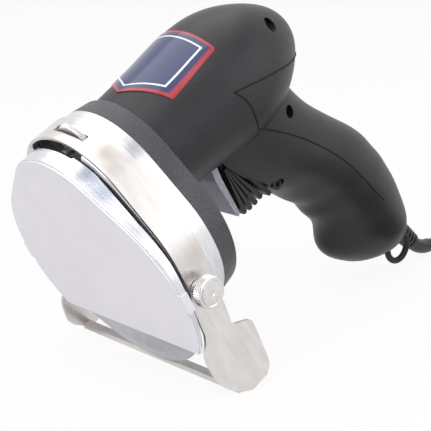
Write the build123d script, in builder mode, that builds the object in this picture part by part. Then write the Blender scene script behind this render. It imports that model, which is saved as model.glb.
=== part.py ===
from build123d import *
from math import asin, atan2, cos, degrees, pi, radians, sin, sqrt, tan
import os

# Electric kebab slicer: round blade in a drop shaped aluminium head, motor barrel, pistol grip.
# The part stands as it is put down: on the two guide wings in front and the cord sleeve behind.
# The tool's own axes lean back by the lean angle. Along is the spindle direction, from the
# blade (0) to the motor, side is the width (minus is the side of the left shell), up is from
# the blade centre to the motor. Lengths are millimetres.

# Resting place of the blade centre
lean = 26.0
blade_height = 47.3
blade_setback = -89.28

# Shared clearances and helpers
fit = 0.05
gap = 0.3
overrun = 1.0

# Blade
blade_radius = 50.0
blade_back = -0.9
blade_thickness = 1.5
blade_edge = 0.25
blade_bevel = 6.0
blade_screw_circle = 9.0
blade_screw_count = 3
blade_hole_radius = 1.6
blade_seat_radius = 2.8
blade_seat_share = 0.6
blade_screw_head = 2.7
blade_screw_radius = 1.5
blade_screw_gap = 0.4

# Blade cover and face plate
cover_top_radius = 32.4
cover_top_height = 27.1
cover_low_radius = 52.8
cover_low_height = -1.6
cover_front = -4.8
cover_wall = 1.4
plate_thickness = 0.6
rim_middle = -2.0
rim_low_slope = 0.045
rim_high = [(4.0, 60), (3.95, 50.5), (0.95, 33), (0.1, 17)]
cover_cut_height = -29.6
cover_edge_round = 0.5
notch_front = 3.05
notch_reach = 6.0
notch_side = -1.8
notch_half_width = 10.5
notch_round = 1.0
tab_low = -4.5
tab_high = 4.5
tab_back = -1.5
relief_radius = 0.9
post_side = 19.5
post_height = 48.9
post_radius = 2.1
cover_tap_radius = 1.3
cover_tap_depth = 7.0
cover_screw_radius = 1.25
cover_screw_hold = 6.0
seat_gap = 0.1
notch_depth = 9.0

# Gear housing (cast aluminium ring) and motor flange (moulded)
ring_top_radius = 32.6
ring_top_height = 29.2
ring_low_radius = 43.8
ring_low_height = 5.2
ring_front = 4.4
ring_back = 24.9
flange_back = 35.3
flange_step = 1.5
flange_round = 2.0
housing_round = 1.2
housing_wall = 3.2
front_bore_radius = 8.0
spigot_length = 4.0
pinion_room = 3.0
gear_room = 2.0
shaft_hole_radius = 4.5
flange_cut = 12.0
flange_post_radius = 3.4
flange_screw_angles = [-48, 48, 128, 180, 232]
flange_screw_inset = 5.5
flange_tap_radius = 1.55
flange_tap_depth = 9.0
flange_hole_radius = 1.8
flange_seat_radius = 3.1
flange_seat_depth = 3.0
flange_screw_head = 2.8
flange_head_height = 2.4
flange_screw_radius = 1.5
flange_screw_length = 14.0
screw_recess = 1.4
gear_wall = 22.2
gear_room_back = 30.0
pocket_half_width = 16.3
pocket_low = 34.0
pocket_high = 80.0
pocket_spare = 1.0

# Guide strap, wings and bar
strap_thickness = 1.2
strap_width = 13.5
strap_middle_front = 4.0
strap_slope = 0.027
arm_bend = -11.0
arm_splay = 0.214
arm_top = 6.0
wing_low = -54.6
bar_profile = [(0.1, -51), (3.2, -50.9), (3.2, -51.9), (0.4, -52), (-0.8, -52.15), (-1.45, -51.85)]
guide_forward = 1.0
guide_back = 2.0
slot_gap = 0.3
strap_gap = 0.15
strap_blank_start = 40.5
strap_blank_length = 108.0
wing_top = -4.0
wing_round_below = -8.0
wing_round = 1.5
slot_cut = 12.0
bar_spare = 2.0
bar_cut_start = 20.0
bar_cut_length = 60.0
bar_cut_high = -46.0
bar_cut_low = -56.0
bar_height = -52.0

# Thumb wheel and its stud
wheel_radius = 9.3
wheel_height = 56.2
wheel_side = -4.3
wheel_thickness = 2.5
wheel_place = 12.0
wheel_teeth = 40
wheel_tooth = 0.5
wheel_slot_place = 11.75
wheel_slot_side = -4.6
wheel_slot_width = 3.4
wheel_slot_half = 9.0
stud_radius = 2.0
wheel_tooth_lift = 0.2
stud_seat_gap = 0.4
stud_end_gap = 0.2

# Clamp knobs
knob_along = 7.9
knob_height = -4.3
knob_radius = 6.6
knob_head_in = 49.0
knob_head_out = 54.0
knob_teeth = 36
knob_tooth = 0.35
knob_stud = 1.5
knob_stud_length = 12.0
knob_collar = 3.6
knob_tooth_lift = 0.15
knob_chamfer = 0.3
knob_ring_out = 1.1
knob_ring_in = 0.6
knob_ring_depth = 0.3

# Gears: spur, module 1
gear_module = 1.0
spindle_teeth = 54
pinion_teeth = 12
gear_front = 22.9
gear_width = 5.6
tooth_share = 0.38
tip_share = 0.85
root_share = 1.15
foot_share = 0.3
root_width_share = 0.16
tip_width_share = 0.20
gear_hole_circle = 16.0
gear_hole_radius = 4.0
gear_hole_count = 6
motor_height = gear_module * (spindle_teeth + pinion_teeth) / 2

# Spindle and its bearings
spindle_radius = 4.0
spindle_rear_radius = 3.0
spindle_hub_radius = 13.0
spindle_hub_thickness = 2.4
front_bearing_radius = 11.0
front_bearing_place = 6.0
front_bearing_width = 7.0
rear_bearing_radius = 6.5
rear_bearing_width = 4.0
spindle_neck_radius = 6.5
spindle_end_gap = 0.3
bearing_shoulder = 0.2
bearing_ring_share = 0.30
bearing_row_start_share = 0.35
bearing_row_share = 0.3

# Motor
shaft_radius = 3.5
pinion_shaft_radius = 2.5
motor_bearing_radius = 9.5
motor_bearing_width = 6.0
motor_bearing_place = 31.0
tail_bearing_radius = 8.0
tail_bearing_place = 104.0
tail_bearing_width = 5.0
core_radius = 12.4
core_front = 52.0
core_back = 78.0
core_slots = 12
core_slot_depth = 6.0
core_slot_width = 1.4
winding_length = 4.9
winding_start = 5.0
winding_drop = 1.0
shaft_step_gap = 0.4
field_radius = 19.4
field_bore = 13.0
field_ring = 3.6
field_seat_length = 2.0
field_coil_drop = 3.8
field_coil_end = 3.2
field_coil_spread = 4.0
field_coil_gap = 0.6
field_pole_gap = 0.2
coil_width = 13.0
fan_radius = 19.0
fan_place = 40.5
fan_width = 6.0
fan_blades = 9
fan_disc = 1.2
fan_hub_radius = 6.0
fan_pitch = 25.0
fan_place_share = 0.72
fan_blade_share = 0.5
commutator_radius = 9.0
commutator_place = 85.0
commutator_width = 11.0
commutator_slot_depth = 1.6
commutator_slot_width = 0.5
brush_gap = 0.15
holder_gap = 1.2
brush_size = 5.0
brush_length = 9.0
holder_wall = 1.0

# Barrel outline: places along, and the radius there
barrel_places = [35.3, 48.0, 60.0, 83.0, 100.0, 110.0, 120.0, 127.5]
barrel_radii = [26.0, 26.8, 27.6, 29.6, 27.6, 23.6, 17.6, 10.4]
barrel_end = 130.6
barrel_rise = 0.06
shell_wall = 2.6

# Grip sections from top to bottom: height, front, back, half width
grip_heights = [22, 12, 3, -6, -15, -24, -33, -42, -49, -56, -63, -71, -78, -85, -92, -98, -102.5]
grip_fronts = [57, 58, 61, 66, 72.5, 81, 90.5, 96.5, 101.5, 103.5, 106.5, 107, 104.5, 106, 111.5, 118.5, 127]
grip_backs = [114, 118, 121.5, 126, 132, 138.5, 145, 150, 152.5, 155, 156.5, 158, 158.5, 158.5, 158, 156, 149]
grip_sides = [19.5, 19.5, 19.4, 19.2, 19, 18.6, 18.2, 17.8, 17.4, 17.6, 17.2, 17.2, 17.6, 17.6, 17, 15, 9.5]

# Shell screws: along and up
shell_screw_places = [(112.0, 46.5), (104.5, 6.5), (85.6, -20.4)]
shell_boss = 3.8
shell_screw_head = 2.9
shell_screw_radius = 1.5
shell_screw_seat = 11.0
shell_head_radius = 2.7
shell_head_height = 2.2
shell_screw_length = 18.0
boss_spare = 10.0
throat_cut = 30.0
sleeve_hole_start = 20.0
sleeve_hole_length = 60.0

# Trigger, its boot and the switch
pivot_along = 61.5
pivot_height = 10.5
pivot_radius = 1.2
pivot_half_length = 14.0
trigger_half_width = 9.5
trigger_thickness = 2.4
trigger_lug = 2.6
trigger_top_along = 59.6
trigger_low_along = 63.0
trigger_low_height = -19.5
trigger_lean = 0.4
trigger_toe_out = 1.4
trigger_toe_in = 1.0
trigger_toe = 1.2
trigger_heel = 0.6
trigger_shoulder = 1.0
trigger_room = 1.2
trigger_room_height = 3.4
trigger_room_drop = 2.0
trigger_room_round = 1.5
throat_along = 72.75
throat_height = -6.75
throat_turn = 24.0
frame_length = 33.0
frame_half_width = 11.3
frame_thickness = 2.0
frame_lip = 1.0
boot_leaves = 4
boot_reach = 29.0
boot_growth = 0.8
boot_leaf_start = 4.0
boot_leaf_round = 0.6
boot_half_width = 10.4
boot_core_drop = 3.2
boot_top_along = 3.6
boot_top_drop = 3.4
boot_toe = 1.2
leaf_start_share = 0.1
leaf_stop_share = 0.78
switch_length = 17.0
switch_half_width = 6.0
switch_depth = 15.0
plunger_radius = 2.5
plunger_reach = 9.1
plunger_depth = 3.0
switch_bore_depth = 9.0
switch_round = 1.5

# Cord sleeve, loop and clamp
sleeve_along = 150.0
sleeve_height = -100.5
sleeve_turn = 66.0
sleeve_base_radius = 5.2
sleeve_tip_radius = 3.7
sleeve_straight = 22.2
sleeve_bend = 20.0
sleeve_ribs = 6
sleeve_rib = 0.7
loop_along = 142.3
loop_height = -107.2
loop_radius = 7.4
loop_wire = 1.6
loop_gap = 0.4
sleeve_root = 8.0
rib_start = 3.0
rib_end = 4.0
rib_width = 1.8
clamp_start = 15.0
clamp_length = 6.0
clamp_end_gap = 3.1
clamp_bite = 0.4

# Label
label_thickness = 0.4
label_half = 19.0
label_flare = 0.6
label_back = 80.5
label_shoulder = 51.0
label_tip = 41.0
label_round = 1.2

# Cord and coil
cord_radius = 3.0
cord_floor = 3.05
coil_first = 42.0
coil_mark_count = 720
coil_clear_run = 20.0
coil_pitch = 6.5
coil_in = 7
coil_out = 7
coil_floor = 4.35
coil_centre_x = 118.7
coil_centre_y = -74.0
bend_share = 0.45

# Coil tie
tie_width = 8.0
tie_wall = 0.8
tie_gap = 0.45

# Plug
plug_level = 20.9
plug_turn = (-0.137, -0.99)
plug_width = 35.3
plug_thickness = 13.7
plug_length = 36.0
plug_nose_width = 26.0
plug_neck = 1.4
plug_neck_end = 2.4
plug_neck_length = 12.0
plug_start = 11.0
plug_waist_width = 13.0
plug_waist_thickness = 10.5
plug_waist_round = 4.0
plug_nose_place = 20.0
plug_nose_thin = 0.6
plug_nose_round = 5.0
plug_face_round = 6.0
pin_radius = 2.0
pin_core = 1.6
pin_length = 19.0
pin_spacing = 18.6
pin_root = 9.5
pin_hole_depth = 10.0
pin_round = 0.8


def spot(along, side, up):
    return tool.from_local_coords(Vector(along, side, up))


def across(along):
    return Plane(origin=spot(along, 0, 0), x_dir=side_dir, z_dir=along_dir)


def facing_side(side):
    return Plane(origin=spot(0, side, 0), x_dir=along_dir, z_dir=-side_dir)


def level(up):
    return Plane(origin=spot(0, 0, up), x_dir=along_dir, z_dir=up_dir)


tool = Plane(
    origin=(blade_setback, 0, blade_height),
    x_dir=(cos(radians(lean)), 0, sin(radians(lean))),
    z_dir=(-sin(radians(lean)), 0, cos(radians(lean))),
)
along_dir = tool.x_dir
side_dir = tool.y_dir
up_dir = tool.z_dir
spindle_axis = Axis(spot(0, 0, 0), along_dir)
motor_axis = Axis(spot(0, 0, motor_height), along_dir)
middle = facing_side(0)


def save(piece, name):
    piece.label = name
    export_step(piece, f"parts/{name}.step")


def drop_outline(top_radius, top_height, low_radius, low_height, inset=0):
    """Outline of the head: two circles joined by their common tangents."""
    with BuildSketch(Plane.XY) as outline:
        with Locations((0, top_height)):
            Circle(top_radius - inset)
        with Locations((0, low_height)):
            Circle(low_radius - inset)
        make_hull()
    return outline.sketch


def ring_outline(inset=0):
    return drop_outline(ring_top_radius, ring_top_height, ring_low_radius, ring_low_height, inset)


def cover_outline(inset=0):
    return drop_outline(cover_top_radius, cover_top_height, cover_low_radius, cover_low_height, inset)


def ring_point(angle, inset):
    """Place near the head's edge: angle from straight up, inset from the outline."""
    spread = (ring_low_radius - ring_top_radius) / (ring_top_height - ring_low_height)
    tangent_turn = degrees(asin(spread))
    if abs(angle) < 90 - tangent_turn:
        radius, height = ring_top_radius - inset, ring_top_height
    else:
        radius, height = ring_low_radius - inset, ring_low_height
    return (radius * sin(radians(angle)), height + radius * cos(radians(angle)))


def barrel_radius(along):
    for near, far, small, large in zip(barrel_places, barrel_places[1:], barrel_radii, barrel_radii[1:]):
        if along <= far:
            return small + (large - small) * (along - near) / (far - near)
    return barrel_radii[-1]


def gear_outline(teeth, backlash_share):
    """Straight sided teeth of a spur gear about the sketch origin."""
    pitch_radius = gear_module * teeth / 2
    tip = pitch_radius + tip_share * gear_module
    root = pitch_radius - root_share * gear_module
    half_pitch = pi * gear_module / 2
    root_half = half_pitch * (backlash_share + root_width_share)
    tip_half = half_pitch * (backlash_share - tip_width_share)
    foot = root - foot_share * gear_module
    with BuildSketch(Plane.XY) as outline:
        Circle(root)
        with PolarLocations(0, teeth):
            Polygon((foot, -root_half), (tip, -tip_half), (tip, tip_half), (foot, root_half), align=None)
    return outline.sketch


os.makedirs("parts", exist_ok=True)

# Gear housing: cast ring with the spindle's front bearing, the thumb wheel pocket in front,
# and the gear room open at the back
post_spots = [(-post_side, post_height), (post_side, post_height)]
flange_screw_spots = [ring_point(angle, flange_screw_inset) for angle in flange_screw_angles]

with BuildPart() as gear_housing:
    with BuildSketch(across(ring_front)):
        add(ring_outline())
    extrude(amount=ring_back - ring_front)
    fillet(gear_housing.faces().sort_by(Axis(spot(0, 0, 0), along_dir))[0].edges(), housing_round)
    with BuildSketch(across(ring_back)):
        add(ring_outline(inset=housing_wall))
    extrude(amount=gear_wall - ring_back, mode=Mode.SUBTRACT)
    with BuildSketch(across(gear_wall)):
        for place in flange_screw_spots:
            with Locations(place):
                Circle(flange_post_radius)
    extrude(amount=ring_back - gear_wall)
    with BuildSketch(across(ring_back)):
        for place in flange_screw_spots:
            with Locations(place):
                Circle(flange_tap_radius)
    extrude(amount=-flange_tap_depth, mode=Mode.SUBTRACT)
    with BuildSketch(across(ring_front)):
        Circle(front_bore_radius)
    extrude(amount=gear_wall - ring_front, mode=Mode.SUBTRACT)
    with BuildSketch(across(front_bearing_place)):
        Circle(front_bearing_radius + fit)
    extrude(amount=gear_wall - front_bearing_place, mode=Mode.SUBTRACT)
    with BuildSketch(across(ring_front)):
        with Locations((0, (pocket_low + pocket_high) / 2)):
            Rectangle(2 * pocket_half_width, pocket_high - pocket_low)
    pocket_floor = wheel_place + wheel_thickness / 2 + guide_back + pocket_spare
    extrude(amount=pocket_floor - ring_front, mode=Mode.SUBTRACT)
    with BuildSketch(across(ring_front)):
        with Locations((wheel_side, wheel_height)):
            Circle(stud_radius + fit)
    extrude(amount=gear_wall - ring_front, mode=Mode.SUBTRACT)
    with BuildSketch(across(ring_front)):
        for place in post_spots:
            with Locations(place):
                Circle(cover_tap_radius)
    extrude(amount=cover_tap_depth, mode=Mode.SUBTRACT)
    for side in (-1, 1):
        knob_plane = Plane(
            origin=spot(knob_along, side * ring_low_radius, knob_height),
            x_dir=along_dir,
            z_dir=-side * side_dir,
        )
        with BuildSketch(knob_plane):
            Circle(knob_stud + fit)
        extrude(amount=knob_stud_length, mode=Mode.SUBTRACT)
save(gear_housing.part, "gear_housing")

# Motor flange: moulded cup behind the ring, with the rear spindle bearing and the motor's
# front bearing, and a short spigot that centres the barrel
with BuildPart() as motor_flange:
    with BuildSketch(across(ring_back)):
        add(ring_outline())
    with BuildSketch(across(flange_back)):
        add(ring_outline(inset=flange_step))
    loft()
    fillet(motor_flange.faces().sort_by(Axis(spot(0, 0, 0), along_dir))[-1].edges(), flange_round)
    with BuildSketch(across(flange_back)):
        with Locations((0, motor_height)):
            Circle(barrel_radii[0] - shell_wall - gap)
    extrude(amount=spigot_length)
    with BuildSketch(across(ring_back)):
        with Locations((0, 0)):
            Circle(spindle_teeth / 2 * gear_module + gear_room)
        with Locations((0, motor_height)):
            Circle(pinion_teeth / 2 * gear_module + pinion_room)
        make_hull()
    extrude(amount=gear_room_back - ring_back, mode=Mode.SUBTRACT)
    with BuildSketch(across(gear_room_back)):
        Circle(rear_bearing_radius + fit)
    extrude(amount=rear_bearing_width, mode=Mode.SUBTRACT)
    with BuildSketch(across(gear_room_back)):
        with Locations((0, motor_height)):
            Circle(shaft_hole_radius)
    extrude(amount=flange_cut, mode=Mode.SUBTRACT)
    with BuildSketch(across(motor_bearing_place)):
        with Locations((0, motor_height)):
            Circle(motor_bearing_radius + fit)
    extrude(amount=flange_cut, mode=Mode.SUBTRACT)
    with BuildSketch(across(ring_back)):
        for place in flange_screw_spots:
            with Locations(place):
                Circle(flange_hole_radius)
    extrude(amount=flange_cut, mode=Mode.SUBTRACT)
    with BuildSketch(across(flange_back - flange_seat_depth)):
        for place in flange_screw_spots:
            with Locations(place):
                Circle(flange_seat_radius)
    extrude(amount=flange_cut, mode=Mode.SUBTRACT)
save(motor_flange.part, "motor_flange")


def screw(plane, head_radius, head_height, radius, length, recess):
    """Cap screw that points against the plane's normal, with a hexagon recess in its head."""
    with BuildPart() as piece:
        with BuildSketch(plane):
            Circle(head_radius)
        extrude(amount=head_height)
        with BuildSketch(plane):
            Circle(radius)
        extrude(amount=-length)
        with BuildSketch(plane.offset(head_height)):
            RegularPolygon(recess, 6)
        extrude(amount=-head_height / 2, mode=Mode.SUBTRACT)
    return piece.part


def at(plane, place):
    origin = plane.from_local_coords(Vector(place[0], place[1], 0))
    return Plane(origin=origin, x_dir=plane.x_dir, z_dir=plane.z_dir)


flange_screws = Compound(
    children=[
        screw(
            at(across(flange_back - flange_seat_depth), place),
            flange_screw_head,
            flange_head_height,
            flange_screw_radius,
            flange_screw_length,
            screw_recess,
        )
        for place in flange_screw_spots
    ]
)
save(flange_screws, "flange_screws")

# Blade cover: shallow pressed cup, deep at the top and running out at the blade's opening
cut_low = 2 * blade_radius
with BuildPart() as blade_cover:
    with BuildSketch(across(cover_front + plate_thickness)):
        add(cover_outline())
    extrude(amount=ring_front - cover_front)
    fillet(blade_cover.faces().sort_by(Axis(spot(0, 0, 0), along_dir))[0].edges(), cover_edge_round)
    with BuildSketch(across(cover_front + plate_thickness + cover_wall)):
        add(cover_outline(inset=cover_wall))
    extrude(amount=4 * ring_front, mode=Mode.SUBTRACT)
    with BuildSketch(middle):
        with BuildLine():
            Polyline(
                (rim_middle - cut_low * rim_low_slope, -cut_low),
                (rim_middle, 0),
                *reversed(rim_high),
                (rim_high[0][0], cut_low),
                (rim_middle + cut_low, cut_low),
                (rim_middle + cut_low, -cut_low),
                close=True,
            )
        make_face()
    extrude(amount=2 * blade_radius, both=True, mode=Mode.SUBTRACT)
    with BuildSketch(middle):
        with Locations((0, cover_cut_height - blade_radius)):
            Rectangle(4 * blade_radius, 2 * blade_radius)
    extrude(amount=2 * blade_radius, both=True, mode=Mode.SUBTRACT)
    with BuildSketch(level(cover_top_height + cover_top_radius + overrun)):
        with Locations((notch_front + notch_reach / 2, notch_side)):
            RectangleRounded(notch_reach, 2 * notch_half_width, notch_round)
    extrude(amount=-notch_depth, mode=Mode.SUBTRACT)
    with BuildSketch(across(cover_front + plate_thickness)):
        for place in post_spots:
            with Locations(place):
                Circle(post_radius)
    extrude(amount=ring_front - cover_front - plate_thickness)
    with BuildSketch(across(cover_front)):
        for place in post_spots:
            with Locations(place):
                Circle(cover_tap_radius)
    extrude(amount=flange_cut, mode=Mode.SUBTRACT)
save(blade_cover.part, "blade_cover")

# Face plate: thin sheet on the cover's front, with a tab folded over the rim on each side
with BuildPart() as face_plate:
    with BuildSketch(across(cover_front)):
        add(cover_outline(inset=cover_edge_round))
    extrude(amount=plate_thickness)
    with BuildSketch(across(cover_front)):
        add(cover_outline(inset=-plate_thickness))
        add(cover_outline(inset=-fit / 2), mode=Mode.SUBTRACT)
        with Locations((0, (tab_low + tab_high) / 2)):
            Rectangle(4 * blade_radius, tab_high - tab_low, mode=Mode.INTERSECT)
    extrude(amount=tab_back - cover_front)
    with BuildSketch(across(cover_front)):
        add(cover_outline(inset=-plate_thickness))
        add(cover_outline(inset=cover_edge_round + overrun), mode=Mode.SUBTRACT)
        with Locations((0, (tab_low + tab_high) / 2)):
            Rectangle(4 * blade_radius, tab_high - tab_low, mode=Mode.INTERSECT)
    extrude(amount=plate_thickness)
    with BuildSketch(middle):
        with Locations((0, cover_cut_height - blade_radius)):
            Rectangle(4 * blade_radius, 2 * blade_radius)
    extrude(amount=2 * blade_radius, both=True, mode=Mode.SUBTRACT)
    with BuildSketch(across(cover_front)):
        for side in (-1, 1):
            for height in (tab_low - relief_radius, tab_high + relief_radius):
                with Locations((side * (cover_low_radius - cover_edge_round), height)):
                    Circle(relief_radius)
    extrude(amount=plate_thickness, mode=Mode.SUBTRACT)
save(face_plate.part, "face_plate")

with BuildPart() as cover_screws:
    for place in post_spots:
        with BuildSketch(at(across(cover_front + plate_thickness + seat_gap), place)):
            Circle(cover_screw_radius)
        extrude(amount=ring_front + cover_screw_hold - cover_front - plate_thickness - seat_gap)
save(cover_screws.part, "cover_screws")

# Blade: flat round knife, ground on the front towards the edge
blade_front = blade_back - blade_thickness
with BuildPart() as blade:
    with BuildSketch(middle):
        with BuildLine():
            Polyline(
                (blade_back, spindle_radius + fit),
                (blade_back, blade_radius),
                (blade_back - blade_edge, blade_radius),
                (blade_front, blade_radius - blade_bevel),
                (blade_front, spindle_radius + fit),
                close=True,
            )
        make_face()
    revolve(axis=spindle_axis)
    with BuildSketch(across(blade_front)):
        with PolarLocations(blade_screw_circle, blade_screw_count):
            Circle(blade_hole_radius)
    extrude(amount=blade_thickness, mode=Mode.SUBTRACT)
    with BuildSketch(across(blade_front)):
        with PolarLocations(blade_screw_circle, blade_screw_count):
            Circle(blade_seat_radius)
    extrude(amount=blade_thickness * blade_seat_share, mode=Mode.SUBTRACT)
save(blade.part, "blade")

with BuildPart() as blade_screws:
    with BuildSketch(across(blade_front + seat_gap)):
        with PolarLocations(blade_screw_circle, blade_screw_count):
            Circle(blade_screw_head)
    extrude(amount=blade_thickness * blade_seat_share - seat_gap)
    with BuildSketch(across(blade_front + seat_gap)):
        with PolarLocations(blade_screw_circle, blade_screw_count):
            Circle(blade_screw_radius)
    extrude(amount=blade_thickness + spindle_hub_thickness - blade_screw_gap)
save(blade_screws.part, "blade_screws")

# Spindle: hub for the blade, journal for the front bearing, gear seat and rear journal
hub_back = blade_back + spindle_hub_thickness
gear_back = gear_front + gear_width
rear_bearing_back = gear_room_back + rear_bearing_width
with BuildPart() as spindle:
    with BuildSketch(middle):
        with BuildLine():
            Polyline(
                (blade_front, 0),
                (blade_front, spindle_radius),
                (blade_back, spindle_radius),
                (blade_back, spindle_hub_radius),
                (hub_back, spindle_hub_radius),
                (hub_back, spindle_neck_radius),
                (front_bearing_place - bearing_shoulder, spindle_neck_radius),
                (front_bearing_place - bearing_shoulder, spindle_radius),
                (gear_back, spindle_radius),
                (gear_back, spindle_rear_radius),
                (rear_bearing_back - spindle_end_gap, spindle_rear_radius),
                (rear_bearing_back - spindle_end_gap, 0),
                close=True,
            )
        make_face()
    revolve(axis=spindle_axis)
    with BuildSketch(across(blade_back)):
        with PolarLocations(blade_screw_circle, blade_screw_count):
            Circle(blade_screw_radius + fit)
    extrude(amount=spindle_hub_thickness, mode=Mode.SUBTRACT)
save(spindle.part, "spindle")


def bearing(along, height, bore_radius, outer_radius, width):
    """Ball bearing: two rings, and the row of balls between them as a plain ring."""
    ring = (outer_radius - bore_radius) * bearing_ring_share
    with BuildPart() as piece:
        with BuildSketch(at(across(along), (0, height))):
            Circle(outer_radius)
            Circle(outer_radius - ring, mode=Mode.SUBTRACT)
            Circle(bore_radius + ring)
            Circle(bore_radius, mode=Mode.SUBTRACT)
        extrude(amount=width)
        with BuildSketch(at(across(along + width * bearing_row_start_share), (0, height))):
            Circle(outer_radius - ring + fit)
            Circle(bore_radius + ring - fit, mode=Mode.SUBTRACT)
        extrude(amount=width * bearing_row_share)
    return piece.part


spindle_bearings = Compound(
    children=[
        bearing(front_bearing_place, 0, spindle_radius + fit, front_bearing_radius, front_bearing_width),
        bearing(gear_room_back, 0, spindle_rear_radius + fit, rear_bearing_radius, rear_bearing_width),
    ]
)
save(spindle_bearings, "spindle_bearings")

# Gears: the large one on the spindle, the pinion on the armature shaft above it
with BuildPart() as spindle_gear:
    with BuildSketch(across(gear_front)):
        add(gear_outline(spindle_teeth, tooth_share))
        Circle(spindle_radius, mode=Mode.SUBTRACT)
        with PolarLocations(gear_hole_circle, gear_hole_count):
            Circle(gear_hole_radius, mode=Mode.SUBTRACT)
    extrude(amount=gear_width)
save(spindle_gear.part, "spindle_gear")

with BuildPart() as pinion:
    with BuildSketch(at(across(gear_front), (0, motor_height))):
        add(gear_outline(pinion_teeth, tooth_share))
        Circle(pinion_shaft_radius, mode=Mode.SUBTRACT)
    extrude(amount=gear_width)
save(pinion.part, "pinion")

# Armature: shaft with its core, windings, commutator and fan
with BuildPart() as armature_shaft:
    with BuildSketch(middle):
        with BuildLine():
            Polyline(
                (gear_front, motor_height),
                (gear_front, motor_height + pinion_shaft_radius),
                (gear_back + shaft_step_gap, motor_height + pinion_shaft_radius),
                (gear_back + shaft_step_gap, motor_height + shaft_radius),
                (tail_bearing_place + tail_bearing_width - shaft_step_gap, motor_height + shaft_radius),
                (tail_bearing_place + tail_bearing_width - shaft_step_gap, motor_height),
                close=True,
            )
        make_face()
    revolve(axis=motor_axis)
save(armature_shaft.part, "armature_shaft")

motor_centre = (0, motor_height)
with BuildPart() as armature_core:
    with BuildSketch(at(across(core_front), motor_centre)):
        Circle(core_radius)
        with PolarLocations(core_radius, core_slots):
            Rectangle(core_slot_depth, core_slot_width, mode=Mode.SUBTRACT)
        Circle(shaft_radius, mode=Mode.SUBTRACT)
    extrude(amount=core_back - core_front)
save(armature_core.part, "armature_core")

with BuildPart() as armature_windings:
    for start in (core_front - winding_start, core_back + seat_gap):
        with BuildSketch(at(across(start), motor_centre)):
            Circle(core_radius - winding_drop)
            Circle(shaft_radius, mode=Mode.SUBTRACT)
        extrude(amount=winding_length)
save(armature_windings.part, "armature_windings")

with BuildPart() as commutator:
    with BuildSketch(at(across(commutator_place), motor_centre)):
        Circle(commutator_radius)
        with PolarLocations(commutator_radius, 2 * core_slots):
            Rectangle(commutator_slot_depth, commutator_slot_width, mode=Mode.SUBTRACT)
        Circle(shaft_radius, mode=Mode.SUBTRACT)
    extrude(amount=commutator_width)
save(commutator.part, "commutator")

with BuildPart() as fan:
    with BuildSketch(at(across(fan_place), motor_centre)):
        Circle(fan_radius)
        Circle(shaft_radius, mode=Mode.SUBTRACT)
    extrude(amount=fan_disc)
    with BuildSketch(at(across(fan_place + fan_disc), motor_centre)):
        with PolarLocations(fan_radius * fan_place_share, fan_blades):
            Rectangle(fan_radius * fan_blade_share, fan_disc, rotation=fan_pitch)
        Circle(fan_hub_radius)
        Circle(shaft_radius, mode=Mode.SUBTRACT)
    extrude(amount=fan_width - fan_disc)
save(fan.part, "fan")

motor_bearings = Compound(
    children=[
        bearing(place, motor_height, shaft_radius + fit, radius, width)
        for place, radius, width in (
            (motor_bearing_place, motor_bearing_radius, motor_bearing_width),
            (tail_bearing_place, tail_bearing_radius, tail_bearing_width),
        )
    ]
)
save(motor_bearings, "motor_bearings")

# Field: laminated ring with two poles, and a coil round each pole
with BuildPart() as field_core:
    with BuildSketch(at(across(core_front), motor_centre)):
        Circle(field_radius)
        Circle(field_radius - field_ring, mode=Mode.SUBTRACT)
        Rectangle(2 * field_radius - field_ring, coil_width)
        Circle(field_bore, mode=Mode.SUBTRACT)
    extrude(amount=core_back - core_front)
save(field_core.part, "field_core")

with BuildPart() as field_coils:
    for side in (-1, 1):
        with BuildSketch(at(across(core_front - field_coil_end), motor_centre)):
            Circle(field_radius - field_coil_drop)
            Circle(field_bore + field_coil_gap, mode=Mode.SUBTRACT)
            with Locations((side * field_radius, 0)):
                Rectangle(
                    2 * field_radius - field_coil_spread,
                    coil_width + 2 * field_coil_end,
                    mode=Mode.INTERSECT,
                )
        extrude(amount=core_back - core_front + 2 * field_coil_end)
    with BuildSketch(at(across(core_front - gap / 3), motor_centre)):
        Rectangle(2 * field_radius + field_coil_spread, coil_width + field_pole_gap)
    extrude(amount=core_back - core_front + 2 * gap / 3, mode=Mode.SUBTRACT)
save(field_coils.part, "field_coils")

brush_spot = (commutator_place + commutator_width / 2, motor_height)
with BuildPart() as brushes:
    for side in (-1, 1):
        with BuildSketch(at(facing_side(side * (commutator_radius + brush_gap)), brush_spot)):
            Rectangle(brush_size, brush_size)
        extrude(amount=-side * brush_length)
save(brushes.part, "brushes")

# Brush holders: open brass boxes that stand on the barrel's wall
holder_outer = barrel_radius(commutator_place + commutator_width / 2) - shell_wall - gap
with BuildPart() as brush_holders:
    for side in (-1, 1):
        with BuildSketch(at(facing_side(side * (commutator_radius + holder_gap)), brush_spot)):
            Rectangle(brush_size + 2 * holder_wall + 2 * fit, brush_size + 2 * holder_wall + 2 * fit)
            Rectangle(brush_size + 2 * fit, brush_size + 2 * fit, mode=Mode.SUBTRACT)
        extrude(amount=-side * (holder_outer - commutator_radius - holder_gap))
save(brush_holders.part, "brush_holders")


def barrel_skin(inset):
    """The barrel as a solid turned about the motor's axis, made smaller by the inset."""
    crest = [(place, motor_height + radius - inset) for place, radius in zip(barrel_places, barrel_radii)]
    with BuildPart() as skin:
        with BuildSketch(middle):
            with BuildLine():
                Spline(
                    *crest,
                    (barrel_end - inset, motor_height),
                    tangents=((1, barrel_rise), (0, -1)),
                )
                Polyline(
                    (barrel_end - inset, motor_height),
                    (flange_back, motor_height),
                    (flange_back, motor_height + barrel_radii[0] - inset),
                )
            make_face()
        revolve(axis=motor_axis)
    return skin.part


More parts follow.
